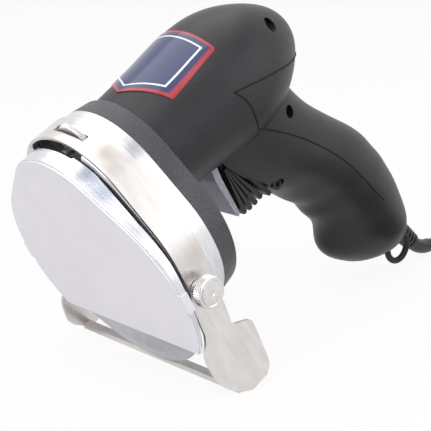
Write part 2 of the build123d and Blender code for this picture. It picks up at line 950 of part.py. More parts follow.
def body_form(inset, last):
    """Barrel and grip as one solid, made smaller all round by the inset."""
    with BuildPart() as form:
        add(barrel_skin(inset))
        sections = list(zip(grip_heights, grip_fronts, grip_backs, grip_sides))[:last]
        for height, front, back, side in sections:
            with BuildSketch(level(height)):
                with Locations(((front + back) / 2, 0)):
                    Ellipse((back - front) / 2 - inset, side - inset)
        loft()
    return form.part


outer_form = body_form(0, len(grip_heights))
inner_form = body_form(shell_wall, len(grip_heights) - 2)
throat = Plane(
    origin=spot(throat_along, 0, throat_height),
    x_dir=sin(radians(throat_turn)) * along_dir - cos(radians(throat_turn)) * up_dir,
    z_dir=-cos(radians(throat_turn)) * along_dir - sin(radians(throat_turn)) * up_dir,
)

with BuildPart() as screw_bosses:
    for place in shell_screw_places:
        with BuildSketch(at(middle, place)):
            Circle(shell_boss)
        extrude(amount=2 * shell_boss + 2 * shell_wall + boss_spare, both=True)
    add(outer_form, mode=Mode.INTERSECT)

with BuildPart() as shells:
    add(outer_form)
    add(inner_form, mode=Mode.SUBTRACT)
    add(screw_bosses.part)
    for start, length, bore in (
        (core_front, field_seat_length, field_radius + fit),
        (core_back - field_seat_length, field_seat_length, field_radius + fit),
        (tail_bearing_place, tail_bearing_width, tail_bearing_radius + fit),
    ):
        with BuildSketch(at(across(start), motor_centre)):
            Circle(min(barrel_radius(start), barrel_radius(start + length)) - shell_wall / 2)
            Circle(bore, mode=Mode.SUBTRACT)
        extrude(amount=length)
    with BuildSketch(throat):
        Rectangle(frame_length, 2 * frame_half_width)
    extrude(amount=throat_cut, mode=Mode.SUBTRACT)
    with BuildSketch(throat):
        Rectangle(frame_length + 2 * frame_lip + 2 * fit, 2 * (frame_half_width + frame_lip + fit))
    extrude(amount=-(frame_thickness + fit), mode=Mode.SUBTRACT)
    with BuildSketch(at(middle, (pivot_along, pivot_height))):
        Circle(pivot_radius + fit)
    extrude(amount=pivot_half_length + fit, both=True, mode=Mode.SUBTRACT)
    with BuildSketch(at(middle, (pivot_along, pivot_height - trigger_room_drop))):
        RectangleRounded(
            2 * (trigger_lug + trigger_room),
            2 * (trigger_lug + trigger_room_height),
            trigger_room_round,
        )
    extrude(amount=frame_half_width, both=True, mode=Mode.SUBTRACT)
    for place in shell_screw_places:
        with BuildSketch(at(facing_side(0), place)):
            Circle(shell_screw_radius + fit)
        extrude(amount=shell_screw_seat, both=True, mode=Mode.SUBTRACT)
        with BuildSketch(at(facing_side(-shell_screw_seat), place)):
            Circle(shell_screw_head)
        extrude(amount=throat_cut, mode=Mode.SUBTRACT)
    sleeve_plane = Plane(
        origin=spot(sleeve_along, 0, sleeve_height),
        x_dir=side_dir,
        z_dir=cos(radians(sleeve_turn)) * along_dir - sin(radians(sleeve_turn)) * up_dir,
    )
    with BuildSketch(sleeve_plane.offset(-sleeve_hole_start)):
        Circle(sleeve_base_radius + fit)
    extrude(amount=sleeve_hole_length, mode=Mode.SUBTRACT)

with BuildPart() as left_shell:
    add(shells.part)
    split(bisect_by=middle, keep=Keep.TOP)
save(left_shell.part, "left_shell")

with BuildPart() as right_shell:
    add(shells.part)
    split(bisect_by=middle, keep=Keep.BOTTOM)
save(right_shell.part, "right_shell")
print("shells", len(left_shell.part.solids()), len(right_shell.part.solids()))

shell_screws = Compound(
    children=[
        screw(
            at(facing_side(-shell_screw_seat), place),
            shell_head_radius,
            shell_head_height,
            shell_screw_radius,
            shell_screw_length,
            screw_recess,
        )
        for place in shell_screw_places
    ]
)
save(shell_screws, "shell_screws")

# Trigger: paddle that swings on a pin under the barrel
with BuildPart() as trigger:
    with BuildSketch(facing_side(0)):
        with BuildLine():
            Polyline(
                (trigger_top_along, pivot_height),
                (trigger_top_along - trigger_lean, 0),
                (trigger_low_along - trigger_toe_out, trigger_low_height),
                (trigger_low_along - trigger_toe_in, trigger_low_height - trigger_toe),
                (trigger_low_along, trigger_low_height - trigger_toe),
                (trigger_low_along + trigger_heel, trigger_low_height),
                (trigger_top_along + trigger_thickness + trigger_heel, 0),
                (trigger_top_along + trigger_thickness + trigger_shoulder, pivot_height),
                close=True,
            )
        make_face()
        with Locations((pivot_along, pivot_height)):
            Circle(trigger_lug)
            Circle(pivot_radius + fit, mode=Mode.SUBTRACT)
    extrude(amount=trigger_half_width, both=True)
save(trigger.part, "trigger")

with BuildPart() as trigger_pin:
    with BuildSketch(at(middle, (pivot_along, pivot_height))):
        Circle(pivot_radius)
    extrude(amount=pivot_half_length, both=True)
save(trigger_pin.part, "trigger_pin")

# Boot frame: plate in the throat of the grip that holds the boot and passes the plunger
with BuildPart() as boot_frame:
    with BuildSketch(throat):
        Rectangle(frame_length + 2 * frame_lip, 2 * (frame_half_width + frame_lip))
        Circle(plunger_radius + gap, mode=Mode.SUBTRACT)
    extrude(amount=-frame_thickness)
save(boot_frame.part, "boot_frame")

# Rubber boot: leaves that fan out from the trigger's pivot, between paddle and frame
fan_top = (pivot_along + boot_top_along, pivot_height - boot_top_drop)
frame_low = (
    throat_along + sin(radians(throat_turn)) * frame_length / 2,
    throat_height - cos(radians(throat_turn)) * frame_length / 2,
)
fan_start = degrees(atan2(trigger_low_height - fan_top[1], trigger_low_along + boot_toe - fan_top[0]))
fan_stop = degrees(atan2(frame_low[1] - fan_top[1], frame_low[0] - fan_top[0]))


def fan_spot(angle, reach):
    return (fan_top[0] + reach * cos(radians(angle)), fan_top[1] + reach * sin(radians(angle)))


leaf_turn = (fan_stop - fan_start) / boot_leaves
with BuildPart() as trigger_boot:
    with BuildSketch(middle):
        with BuildLine():
            Polyline(
                fan_top,
                fan_spot(fan_start, boot_reach - boot_core_drop),
                fan_spot(fan_stop, boot_reach - boot_core_drop),
                close=True,
            )
        make_face()
    extrude(amount=boot_half_width - boot_core_drop / 2, both=True)
    for leaf in range(boot_leaves):
        near = fan_start + leaf_turn * (leaf + leaf_start_share)
        far = fan_start + leaf_turn * (leaf + leaf_stop_share)
        with BuildSketch(middle):
            with BuildLine():
                reach = boot_reach + leaf * boot_growth
                Polyline(
                    fan_spot(near, boot_leaf_start),
                    fan_spot(near, reach - boot_leaf_round),
                    fan_spot((near + far) / 2, reach),
                    fan_spot(far, reach - boot_leaf_round),
                    fan_spot(far, boot_leaf_start),
                    close=True,
                )
            make_face()
        extrude(amount=boot_half_width, both=True)
    with BuildSketch(throat):
        Rectangle(3 * frame_length, 6 * frame_half_width)
    extrude(amount=-throat_cut, mode=Mode.SUBTRACT)
    with BuildSketch(throat):
        Circle(plunger_radius + gap)
    extrude(amount=throat_cut, mode=Mode.SUBTRACT)
save(trigger_boot.part, "trigger_boot")

# Switch behind the frame, with the plunger that the paddle pushes in
with BuildPart() as switch_body:
    with BuildSketch(throat.offset(-frame_thickness - seat_gap)):
        RectangleRounded(switch_length, 2 * switch_half_width, switch_round)
    extrude(amount=-switch_depth)
    with BuildSketch(throat.offset(-frame_thickness - seat_gap)):
        Circle(plunger_radius + fit)
    extrude(amount=-switch_bore_depth, mode=Mode.SUBTRACT)
save(switch_body.part, "switch_body")

with BuildPart() as switch_plunger:
    with BuildSketch(throat.offset(-frame_thickness - plunger_depth)):
        Circle(plunger_radius)
    extrude(amount=frame_thickness + plunger_depth + plunger_reach)
save(switch_plunger.part, "switch_plunger")

# Guide strap: strip over the head that runs down both sides into the wings
strap_reach = 2 * blade_radius


def strap_front(height):
    return strap_middle_front + strap_slope * height


def arm_place(height):
    """Outer face of the arm at a height, counted from the middle: upright, then splayed."""
    return ring_low_radius + strap_thickness + strap_gap + arm_splay * max(0, arm_bend - height)


wing_points = [
    (strap_front(wing_top), wing_top),
    (3.1, -6.5),
    (2.2, -10.2),
    (0.6, -18.6),
    (-0.2, -22.4),
    (-1.9, -25.3),
    (-3.8, -27),
    (-5.2, -28.7),
    (-6.3, -32),
    (-6.8, -38),
    (-6.7, -42),
    (-4.9, -46.2),
    (-0.6, -51.5),
    (4.0, wing_low),
    (13.5, wing_low),
    (17, -52),
    (18.1, -48.5),
    (20.1, -38.6),
    (21, -32.4),
    (19.9, -31),
    (13.4, -27.7),
    (12.8, -26),
    (14.4, -20),
    (16.6, -10),
    (strap_front(wing_top) + strap_width, wing_top),
]
with BuildPart() as strap_blank:
    with BuildSketch(across(-strap_blank_start)):
        add(ring_outline(inset=-strap_thickness - strap_gap))
        add(ring_outline(inset=-strap_gap), mode=Mode.SUBTRACT)
        with Locations((0, arm_top + strap_reach / 2)):
            Rectangle(3 * blade_radius, strap_reach, mode=Mode.INTERSECT)
        for side in (-1, 1):
            with BuildLine():
                Polyline(
                    (side * arm_place(arm_top), arm_top),
                    (side * arm_place(arm_bend), arm_bend),
                    (side * arm_place(wing_low), wing_low),
                    (side * (arm_place(wing_low) - strap_thickness), wing_low),
                    (side * (arm_place(arm_bend) - strap_thickness), arm_bend),
                    (side * (arm_place(arm_top) - strap_thickness), arm_top),
                    close=True,
                )
            make_face()
    extrude(amount=strap_blank_length)
with BuildPart() as guide_strap:
    add(strap_blank.part)
    with BuildSketch(middle):
        with BuildLine():
            Polyline(
                (strap_front(strap_reach), strap_reach),
                (strap_front(wing_top), wing_top),
                (strap_front(wing_top) + strap_width, wing_top),
                (strap_front(strap_reach) + strap_width, strap_reach),
                close=True,
            )
        make_face()
        with BuildLine():
            Polyline(*wing_points, close=True)
        make_face()
        round_ends = vertices().filter_by(lambda v: middle.to_local_coords(v).Y < wing_round_below)
        fillet(round_ends, wing_round)
    extrude(amount=3 * blade_radius, both=True, mode=Mode.INTERSECT)
    with BuildSketch(level(ring_top_height + ring_top_radius)):
        with Locations((wheel_slot_place, wheel_slot_side)):
            Rectangle(wheel_slot_width, 2 * wheel_slot_half)
    extrude(amount=slot_cut, both=True, mode=Mode.SUBTRACT)
    with BuildSketch(at(middle, (knob_along + (guide_forward - guide_back) / 2, knob_height))):
        SlotOverall(guide_forward + guide_back + 2 * knob_stud + slot_gap, 2 * knob_stud + slot_gap)
    extrude(amount=3 * blade_radius, both=True, mode=Mode.SUBTRACT)
save(guide_strap.part, "guide_strap")

# Guide bar: strip welded between the wings, with a lip turned down in front
bar_half = arm_place(bar_height) - strap_thickness
with BuildPart() as guide_bar:
    with BuildSketch(middle):
        with BuildLine():
            Polyline(*bar_profile, close=True)
        make_face()
    extrude(amount=bar_half + bar_spare, both=True)
    add(guide_strap.part, mode=Mode.SUBTRACT)
    with BuildSketch(across(-bar_cut_start)):
        with BuildLine():
            Polyline(
                (strap_thickness - arm_place(bar_cut_high), bar_cut_high),
                (strap_thickness - arm_place(bar_cut_low), bar_cut_low),
                (arm_place(bar_cut_low) - strap_thickness, bar_cut_low),
                (arm_place(bar_cut_high) - strap_thickness, bar_cut_high),
                close=True,
            )
        make_face()
    extrude(amount=bar_cut_length, mode=Mode.INTERSECT)
save(guide_bar.part, "guide_bar")

# Thumb wheel: knurled nut that stands in the strap's slot and turns on a fixed stud
with BuildPart() as thumb_wheel:
    with BuildSketch(at(across(wheel_place - wheel_thickness / 2), (wheel_side, wheel_height))):
        Circle(wheel_radius)
        with PolarLocations(wheel_radius + wheel_tooth_lift, wheel_teeth):
            Circle(wheel_tooth, mode=Mode.SUBTRACT)
        Circle(stud_radius + fit, mode=Mode.SUBTRACT)
    extrude(amount=wheel_thickness)
save(thumb_wheel.part, "thumb_wheel")

with BuildPart() as wheel_stud:
    with BuildSketch(at(across(ring_front + stud_seat_gap), (wheel_side, wheel_height))):
        Circle(stud_radius)
    extrude(amount=gear_wall - ring_front - stud_seat_gap - stud_end_gap)
save(wheel_stud.part, "wheel_stud")

# Clamp knobs: knurled heads with a stud through the arm's slot into the housing
for side, name in ((-1, "knob_left"), (1, "knob_right")):
    seat = Plane(
        origin=spot(knob_along, side * knob_head_in, knob_height),
        x_dir=along_dir,
        z_dir=side * side_dir,
    )
    with BuildPart() as knob:
        with BuildSketch(seat):
            Circle(knob_radius)
            with PolarLocations(knob_radius + knob_tooth_lift, knob_teeth):
                Circle(knob_tooth, mode=Mode.SUBTRACT)
        extrude(amount=knob_head_out - knob_head_in)
        chamfer(knob.faces().sort_by(Axis(spot(0, 0, 0), side * side_dir))[-1].edges(), knob_chamfer)
        with BuildSketch(seat.offset(knob_head_out - knob_head_in)):
            Circle(knob_ring_out)
            Circle(knob_ring_in, mode=Mode.SUBTRACT)
        extrude(amount=-knob_ring_depth, mode=Mode.SUBTRACT)
        with BuildSketch(seat):
            Circle(knob_collar)
        extrude(amount=arm_place(knob_height) + gap - knob_head_in)
        with BuildSketch(seat):
            Circle(knob_stud)
        extrude(amount=arm_place(knob_height) - knob_stud_length - knob_head_in)
    save(knob.part, name)

# Label: thin plate bent round the top of the barrel, pointed towards the blade
with BuildPart() as label_plate:
    with BuildSketch(level(motor_height)):
        with BuildLine():
            Polyline(
                (label_back, -label_half),
                (label_shoulder, -label_half - label_flare),
                (label_tip, 0),
                (label_shoulder, label_half + label_flare),
                (label_back, label_half),
                close=True,
            )
        make_face()
        fillet(vertices(), label_round)
    extrude(amount=2 * barrel_radii[3])
    add(barrel_skin(-label_thickness), mode=Mode.INTERSECT)
    add(barrel_skin(-fit / 2), mode=Mode.SUBTRACT)
save(label_plate.part, "label_plate")

# Cord sleeve: ribbed rubber taper out of the heel, with a nose bent level on the table
sleeve_dir = sleeve_plane.z_dir
sleeve_left = sleeve_dir.cross(side_dir) * -1
bend_start = spot(sleeve_along, 0, sleeve_height) + sleeve_dir * sleeve_straight
bend_turn = sleeve_turn - lean
bend_centre = bend_start - sleeve_left * sleeve_bend
if (bend_centre - bend_start).Z < 0:
    bend_centre = bend_start + sleeve_left * sleeve_bend
sleeve_tip = bend_centre - Vector(0, 0, sleeve_bend)
with BuildPart() as cord_sleeve:
    with BuildSketch(sleeve_plane.offset(-sleeve_root)):
        Circle(sleeve_base_radius)
    extrude(amount=sleeve_root)
    with BuildSketch(sleeve_plane):
        Circle(sleeve_base_radius)
    with BuildSketch(sleeve_plane.offset(sleeve_straight)):
        Circle(sleeve_tip_radius)
    loft()
    for rib in range(sleeve_ribs):
        reach = rib_start + rib * (sleeve_straight - rib_end) / sleeve_ribs
        rib_radius = sleeve_base_radius + (sleeve_tip_radius - sleeve_base_radius) * reach / sleeve_straight
        with BuildSketch(sleeve_plane.offset(reach)):
            Circle(rib_radius + sleeve_rib)
        extrude(amount=rib_width)
    with BuildSketch(sleeve_plane.offset(sleeve_straight)):
        Circle(sleeve_tip_radius)
    revolve(axis=Axis(bend_centre, (0, -1, 0)), revolution_arc=bend_turn)
save(cord_sleeve.part, "cord_sleeve")
print("sleeve tip", sleeve_tip, "solids", len(cord_sleeve.part.solids()))

loop_plane = facing_side(-sleeve_base_radius - loop_wire - loop_gap)
loop_top = loop_plane.from_local_coords(Vector(loop_along, loop_height + loop_radius, 0))
loop_centre = loop_plane.from_local_coords(Vector(loop_along, loop_height, 0))
with BuildPart() as hanging_loop:
    with BuildSketch(Plane(origin=loop_top, x_dir=up_dir, z_dir=along_dir)):
        Circle(loop_wire)
    revolve(axis=Axis(loop_centre, side_dir))
    add(outer_form, mode=Mode.SUBTRACT)
save(hanging_loop.part, "hanging_loop")

# Clamp bar inside the heel that holds the cord, and the lead from there to the switch
with BuildPart() as cord_clamp:
    with BuildSketch(sleeve_plane.offset(-clamp_start)):
        Rectangle(2 * (grip_sides[-4] - shell_wall - clamp_end_gap), clamp_length)
        Circle(cord_radius - clamp_bite, mode=Mode.SUBTRACT)
    extrude(amount=-clamp_length)
save(cord_clamp.part, "cord_clamp")

# Power cord on the table: free run, round coil of two layers, and the tail to the plug
coil_step = coil_pitch / 2
radii_in = [coil_first - coil_step * turn for turn in range(coil_in)]
climb_radius = radii_in[-1] - coil_step
radii_out = [radii_in[-1] + coil_step * turn for turn in range(coil_out)]


def coil_spot(x, y, z):
    """Coil places: x across the coil, y the way the cord first runs, seen turning clockwise."""
    return (coil_centre_x + x, coil_centre_y - y, z)


low_layer = coil_floor
high_layer = coil_floor + coil_pitch
place = coil_first
heading = 1
coil_arcs = []
for radius in radii_in:
    centre = place - heading * radius
    arc_end = centre - heading * radius
    coil_arcs.append([(place, 0), (centre, heading * radius), (arc_end, 0)])
    place = arc_end
    heading = -heading
climb_start = place
climb_heading = heading
climb_end = place - heading * 2 * climb_radius
climb_middle = place - heading * climb_radius
climb_bulge = sqrt(climb_radius**2 + (coil_pitch / 2) ** 2)
place = climb_end
heading = -heading
out_arcs = []
for radius in radii_out:
    centre = place - heading * radius
    arc_end = centre - heading * radius
    out_arcs.append([(place, 0), (centre, heading * radius), (arc_end, 0)])
    place = arc_end
    heading = -heading
coil_end = place

with BuildPart() as cord_coil:
    with BuildLine() as coil_line:
        for arc in coil_arcs:
            ThreePointArc(*[coil_spot(x, y, low_layer) for x, y in arc])
        climb_mid = coil_spot(climb_middle, climb_heading * climb_bulge, (low_layer + high_layer) / 2)
        TangentArc(coil_spot(climb_start, 0, low_layer), climb_mid, tangent=(0, -climb_heading, 0))
        TangentArc(coil_spot(climb_end, 0, high_layer), climb_mid, tangent=(0, -climb_heading, 0))
        for arc in out_arcs:
            ThreePointArc(*[coil_spot(x, y, high_layer) for x, y in arc])
    coil_mouth = Plane(origin=coil_spot(coil_first, 0, low_layer), x_dir=(1, 0, 0), z_dir=(0, -1, 0))
    with BuildSketch(coil_mouth):
        Circle(cord_radius)
    sweep(path=coil_line.wire())
save(cord_coil.part, "cord_coil")
coil_wire = coil_line.wire()
coil_length = coil_wire.length
coil_marks = [coil_wire.position_at(mark / coil_mark_count) for mark in range(coil_mark_count + 1)]
mark_skip = int(coil_clear_run * coil_mark_count / coil_length)
least_reach = min(
    (one - other).length
    for number, one in enumerate(coil_marks)
    for other in coil_marks[number + mark_skip :]
)
print("coil least gap", round(least_reach - 2 * cord_radius, 3))
coil_share = cord_coil.part.volume / (pi * cord_radius**2 * coil_length)
print("coil length", round(coil_length, 2), "volume share", round(coil_share, 4))


def cord_tube(route, name):
    """Tube along a route of straight runs joined by tangent arcs as large as the runs allow."""
    marks = [Vector(*spot_) for spot_ in route]
    radii = []
    for before, here, after in zip(marks, marks[1:], marks[2:]):
        turn = (here - before).get_angle(after - here)
        shorter = min((here - before).length, (after - here).length)
        radii.append(bend_share * shorter / tan(radians(turn / 2)))
    with BuildPart() as tube:
        with BuildLine() as line:
            FilletPolyline(*marks, radius=radii)
        first = (marks[1] - marks[0]).normalized()
        with BuildSketch(Plane(origin=marks[0], x_dir=first.cross(Vector(0, 0, 1)), z_dir=first)):
            Circle(cord_radius)
        sweep(path=line.wire())
    length = line.wire().length
    print(name, "radii", [round(radius, 1) for radius in radii], "length", round(length, 1))
    print(name, "volume share", round(tube.part.volume / (pi * cord_radius**2 * length), 4))
    save(tube.part, name)
    return length


coil_entry_x = coil_centre_x + coil_first
cord_route = [
    (sleeve_tip.X, 0, sleeve_tip.Z),
    (131.66, 0, sleeve_tip.Z),
    (142.06, -3.38, 3.5),
    (150.9, -9.8, 3.25),
    (157.32, -18.64, cord_floor),
    (160.62, -29.04, cord_floor),
    (coil_entry_x, -46.0, coil_floor),
    (coil_entry_x, coil_centre_y, coil_floor),
]


def over_coil(x, y, z):
    """Place in the frame from x and y counted from the coil's middle."""
    return (coil_centre_x + x, coil_centre_y + y, z)


tail_route = [
    over_coil(coil_end, 0, high_layer),
    over_coil(coil_end, 13.0, high_layer),
    over_coil(-44.4, 25.6, 11.2),
    over_coil(-36.6, 36.2, 12.2),
    over_coil(-25.8, 43.6, 13.6),
    over_coil(-13.2, 46.9, 15.2),
    over_coil(0, 45.8, 16.9),
    over_coil(12.0, 40.6, 18.5),
    over_coil(21.6, 32.0, 19.9),
    over_coil(27.6, 20.6, 20.7),
    over_coil(29.8, 8.0, plug_level),
    over_coil(28.0, -5.0, plug_level),
]
free_length = cord_tube(cord_route, "power_cord")
tail_length = cord_tube(tail_route, "cord_tail")
print("whole cord", free_length + coil_length + tail_length)

# Coil tie: band round both layers on the side of the coil that faces the tool
tie_low = (coil_first, radii_in[-1])
tie_high = (radii_out[-1] + coil_pitch, radii_in[-1] + coil_pitch)
tie_plane = Plane(origin=(coil_centre_x, coil_centre_y, 0), x_dir=(-1, 0, 0), z_dir=(0, 1, 0))


def tie_outline(reach):
    """Band outline round the cord's turns at a reach from the cord's middle."""
    with BuildSketch(Plane.XY) as outline:
        for turn in tie_low:
            with Locations((turn, low_layer)):
                Circle(reach)
        for turn in tie_high:
            with Locations((turn, high_layer)):
                Circle(reach)
        make_hull()
    return outline.sketch


with BuildPart() as coil_tie:
    with BuildSketch(tie_plane):
        add(tie_outline(cord_radius + tie_gap + tie_wall))
        add(tie_outline(cord_radius + tie_gap), mode=Mode.SUBTRACT)
    extrude(amount=tie_width / 2, both=True)
save(coil_tie.part, "coil_tie")

# Plug: flat two pin plug that lies on the coil
plug_origin = Vector(*tail_route[-1])
plug_axis = Vector(*plug_turn, 0).normalized()
plug_plane = Plane(origin=plug_origin, x_dir=plug_axis.cross(Vector(0, 0, 1)), z_dir=plug_axis)
plug_face = plug_plane.offset(plug_start + plug_length)
with BuildPart() as plug:
    with BuildSketch(plug_plane):
        Circle(cord_radius + plug_neck)
    with BuildSketch(plug_plane.offset(plug_neck_length)):
        Circle(cord_radius + plug_neck_end)
    loft()
    with BuildSketch(plug_plane.offset(plug_start)):
        RectangleRounded(plug_waist_width, plug_waist_thickness, plug_waist_round)
    with BuildSketch(plug_plane.offset(plug_nose_place)):
        RectangleRounded(plug_nose_width, plug_thickness - plug_nose_thin, plug_nose_round)
    with BuildSketch(plug_face):
        RectangleRounded(plug_width, plug_thickness, plug_face_round)
    loft(ruled=True)
    with BuildSketch(plug_face):
        with Locations((-pin_spacing / 2, 0), (pin_spacing / 2, 0)):
            Circle(pin_core + fit)
    extrude(amount=-pin_hole_depth, mode=Mode.SUBTRACT)
save(plug.part, "plug")

with BuildPart() as plug_pins:
    with BuildSketch(plug_face.offset(-pin_root)):
        with Locations((-pin_spacing / 2, 0), (pin_spacing / 2, 0)):
            Circle(pin_core)
    extrude(amount=pin_root)
    with BuildSketch(plug_face):
        with Locations((-pin_spacing / 2, 0), (pin_spacing / 2, 0)):
            Circle(pin_radius)
    extrude(amount=pin_length)
    pin_tips = plug_pins.faces().sort_by(Axis(plug_origin, plug_axis))[-2:]
    fillet(pin_tips.edges(), pin_round)
save(plug_pins.part, "plug_pins")
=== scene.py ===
"""Looks of the electric kebab slicer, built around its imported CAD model."""

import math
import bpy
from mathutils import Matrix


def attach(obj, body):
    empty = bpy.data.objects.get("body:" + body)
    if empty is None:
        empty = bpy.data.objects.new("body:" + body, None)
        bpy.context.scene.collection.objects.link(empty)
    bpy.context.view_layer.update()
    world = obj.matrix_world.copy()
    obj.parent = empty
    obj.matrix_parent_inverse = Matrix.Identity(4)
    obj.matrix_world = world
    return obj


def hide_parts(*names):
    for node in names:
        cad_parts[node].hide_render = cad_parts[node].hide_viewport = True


bl_info = {
    "name": "Kebab slicer looks",
    "version": (1, 0, 0),
    "blender": (4, 5, 0),
    "location": "3D View > Sidebar > Slicer",
    "description": "Finishes, knurled pieces, cord and stage for the electric kebab slicer",
    "category": "Object",
}

import bmesh
import bpy
from mathutils import Matrix, Vector

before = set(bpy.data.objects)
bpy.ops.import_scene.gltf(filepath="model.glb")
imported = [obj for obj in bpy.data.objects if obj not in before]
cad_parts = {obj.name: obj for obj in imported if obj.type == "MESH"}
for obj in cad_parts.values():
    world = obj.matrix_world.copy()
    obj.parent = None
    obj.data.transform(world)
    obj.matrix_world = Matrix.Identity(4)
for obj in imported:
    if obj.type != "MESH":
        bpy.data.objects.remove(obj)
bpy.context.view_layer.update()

# The head leans back on the table: ALONG runs from the blade to the motor. The frame is in metres
MM = 0.001
LEAN = math.radians(26)
BLADE_CENTRE = Vector((-89.28, 0, 47.3)) * MM
ALONG = Vector((math.cos(LEAN), 0, math.sin(LEAN)))
SIDE = Vector((0, 1, 0))
UP = Vector((-math.sin(LEAN), 0, math.cos(LEAN)))

# Camera that sees the slicer as the photograph does
EYE = Vector((-369.57, -386.05, 211.20)) * MM
EYE_RIGHT = Vector((0.7399, -0.6711, -0.0470))
EYE_DOWN = Vector((-0.2280, -0.1844, -0.9560))
EYE_AHEAD = Vector((0.6329, 0.7181, -0.2894))
EYE_LENS = 101.9
EYE_SENSOR = 36.0
EYE_NEAR = 0.01

# Power cord: the control points of its three stretches, millimetres
CORD_RADIUS = 3.0
LEAD_POINTS = [
    (119.457, 0, 3.778),
    (131.66, 0, 3.778),
    (142.06, -3.38, 3.5),
    (150.9, -9.8, 3.25),
    (157.32, -18.64, 3.05),
    (160.62, -29.04, 3.05),
    (160.7, -46.0, 4.35),
    (160.7, -74.0, 4.35),
]
TAIL_POINTS = [
    (70.2, -74.0, 10.85),
    (70.2, -61.0, 10.85),
    (74.3, -48.4, 11.2),
    (82.1, -37.8, 12.2),
    (92.9, -30.4, 13.6),
    (105.5, -27.1, 15.2),
    (118.7, -28.2, 16.9),
    (130.7, -33.4, 18.5),
    (140.3, -42.0, 19.9),
    (146.3, -53.4, 20.7),
    (148.5, -66.0, 20.9),
    (146.7, -79.0, 20.9),
]
COIL_CENTRE = (118.7, -74.0)
COIL_LEVELS = (4.35, 10.85)
COIL_PITCH = 3.25
COIL_OUTER = 42.0
COIL_INNER = 22.5
COIL_ROUNDS = 7
COIL_CLIMB = 19.25
COIL_RADII_IN = [COIL_OUTER - COIL_PITCH * turn for turn in range(COIL_ROUNDS)]
COIL_RADII_OUT = [COIL_INNER + COIL_PITCH * turn for turn in range(COIL_ROUNDS)]
COIL_POINTS = 10

# Clamp knobs and thumb wheel, millimetres in the head's own axes
KNOB_PLACE = (7.9, -4.3)
KNOB_SEAT = 45.45
KNOB_PROFILE = [
    (0, -12.0),
    (1.45, -12.0),
    (1.45, 0.0),
    (3.6, 0.0),
    (3.6, 3.55),
    (5.9, 3.55),
    (6.2, 3.85),
    (6.2, 8.0),
    (6.35, 8.15),
    (6.1, 8.5),
    (5.6, 8.55),
    (5.35, 8.35),
    (5.05, 8.2),
    (4.9, 8.5),
    (1.3, 8.5),
    (1.1, 8.2),
    (0.7, 8.2),
    (0.6, 8.4),
    (0, 8.4),
]
WHEEL_PLACE = (12.0, -4.3, 56.2)
WHEEL_PROFILE = [
    (2.06, -1.25),
    (8.8, -1.25),
    (8.95, -1.1),
    (8.95, 1.1),
    (8.8, 1.25),
    (2.06, 1.25),
    (2.06, -1.25),
]

# Knurled rims about their own axis: millimetres, and rows of pyramids
KNOB_RIM = {"radius": 6.2, "low": 3.9, "high": 8.0, "rows": 6}
WHEEL_RIM = {"radius": 8.95, "low": -1.1, "high": 1.1, "rows": 3}
KNOB_STEPS = 72
WHEEL_STEPS = 96
SHARP_ANGLE = math.radians(28)

# Label's edges in the head's own axes, how far its bands reach in (millimetres), and the shares of
# that reach where the field starts and the key line starts and ends
LABEL_BACK = 80.5
LABEL_TIP = 41.0
LABEL_TIP_DEPTH = 10.0
LABEL_HALF_WIDTH = 19.0
LABEL_REACH = 10.0
LABEL_STOPS = (0.13, 0.34, 0.42)

# Dust specks: cells per metre, and where a speck starts to fade and ends, as shares of a cell
DUST_SCALE = 95.0
DUST_CORE = 0.012
DUST_END = 0.024
DUST_COLOUR = (0.5, 0.5, 0.5, 1)

# Moulded plastic: scale per metre and detail of its patterns, where its two tones end, its shine,
# and how far its roughness wanders down and up
WANDER_SCALE = 22
GRAIN_DETAIL = 3.0
PLASTIC_TONES = (0.12, 0.42)
PLASTIC_SHINE = 0.34
PLASTIC_SPREAD = (0.05, 0.07)

# Brushed metal: the same, with the share of the fine lines in the tone and their depth
BAND_SCALE = 30.0
HAIR_SCALE = 60
FINE_DETAIL = 4.0
HAIR_SHARE = 0.45
METAL_TONES = (0.34, 0.6)
METAL_SPREAD = (0.05, 0.1)
HAIR_DEPTH = 0.08

# Small turned parts: how much darker their dark tone is, their tool marks and their bands
TURNED_SHADE = 0.82
TURNED_LINES = (12, 12, 12)
TURNED_SCALE = 80

# Rubber: its bloom, tones and roughness
BLOOM_SCALE = 700
RUBBER_TONES = (0.35, 0.7)
RUBBER_SPREAD = (0.08, 0.08)
BLOOM_DEPTH = 0.12

# Label and floor surfaces, and how near two points are that become one
LABEL_ROUGHNESS = 0.28
LABEL_COAT = 0.3
FLOOR_COLOUR = (0.8, 0.8, 0.8, 1)
FLOOR_ROUGHNESS = 0.6
WHITE = (1, 1, 1, 1)
MERGE_REACH = 1e-7

# Painted reflections on the metal, as soft dark patches where dark surroundings would mirror: centre
# along, across and above, reach, and shade
PAINTED_REFLECTION_WEIGHT = 0.85
# Painted reflections on the ring and cover
RING_PAINTED_REFLECTIONS = [
    ((1.7, -20.0, 51.5), 9.0, (0.16, 0.18, 0.24)),
    ((0.5, -27.0, 46.0), 8.0, (0.30, 0.33, 0.40)),
    ((23.0, -24.0, 50.5), 8.0, (0.45, 0.46, 0.50)),
]
# Painted reflections on the strap
STRAP_PAINTED_REFLECTIONS = [
    ((12.0, -21.5, 55.0), 8.0, (0.36, 0.32, 0.29)),
    ((14.0, -44.9, 8.5), 8.0, (0.62, 0.58, 0.55)),
    ((14.0, -3.0, 62.0), 7.0, (0.44, 0.43, 0.43)),
]

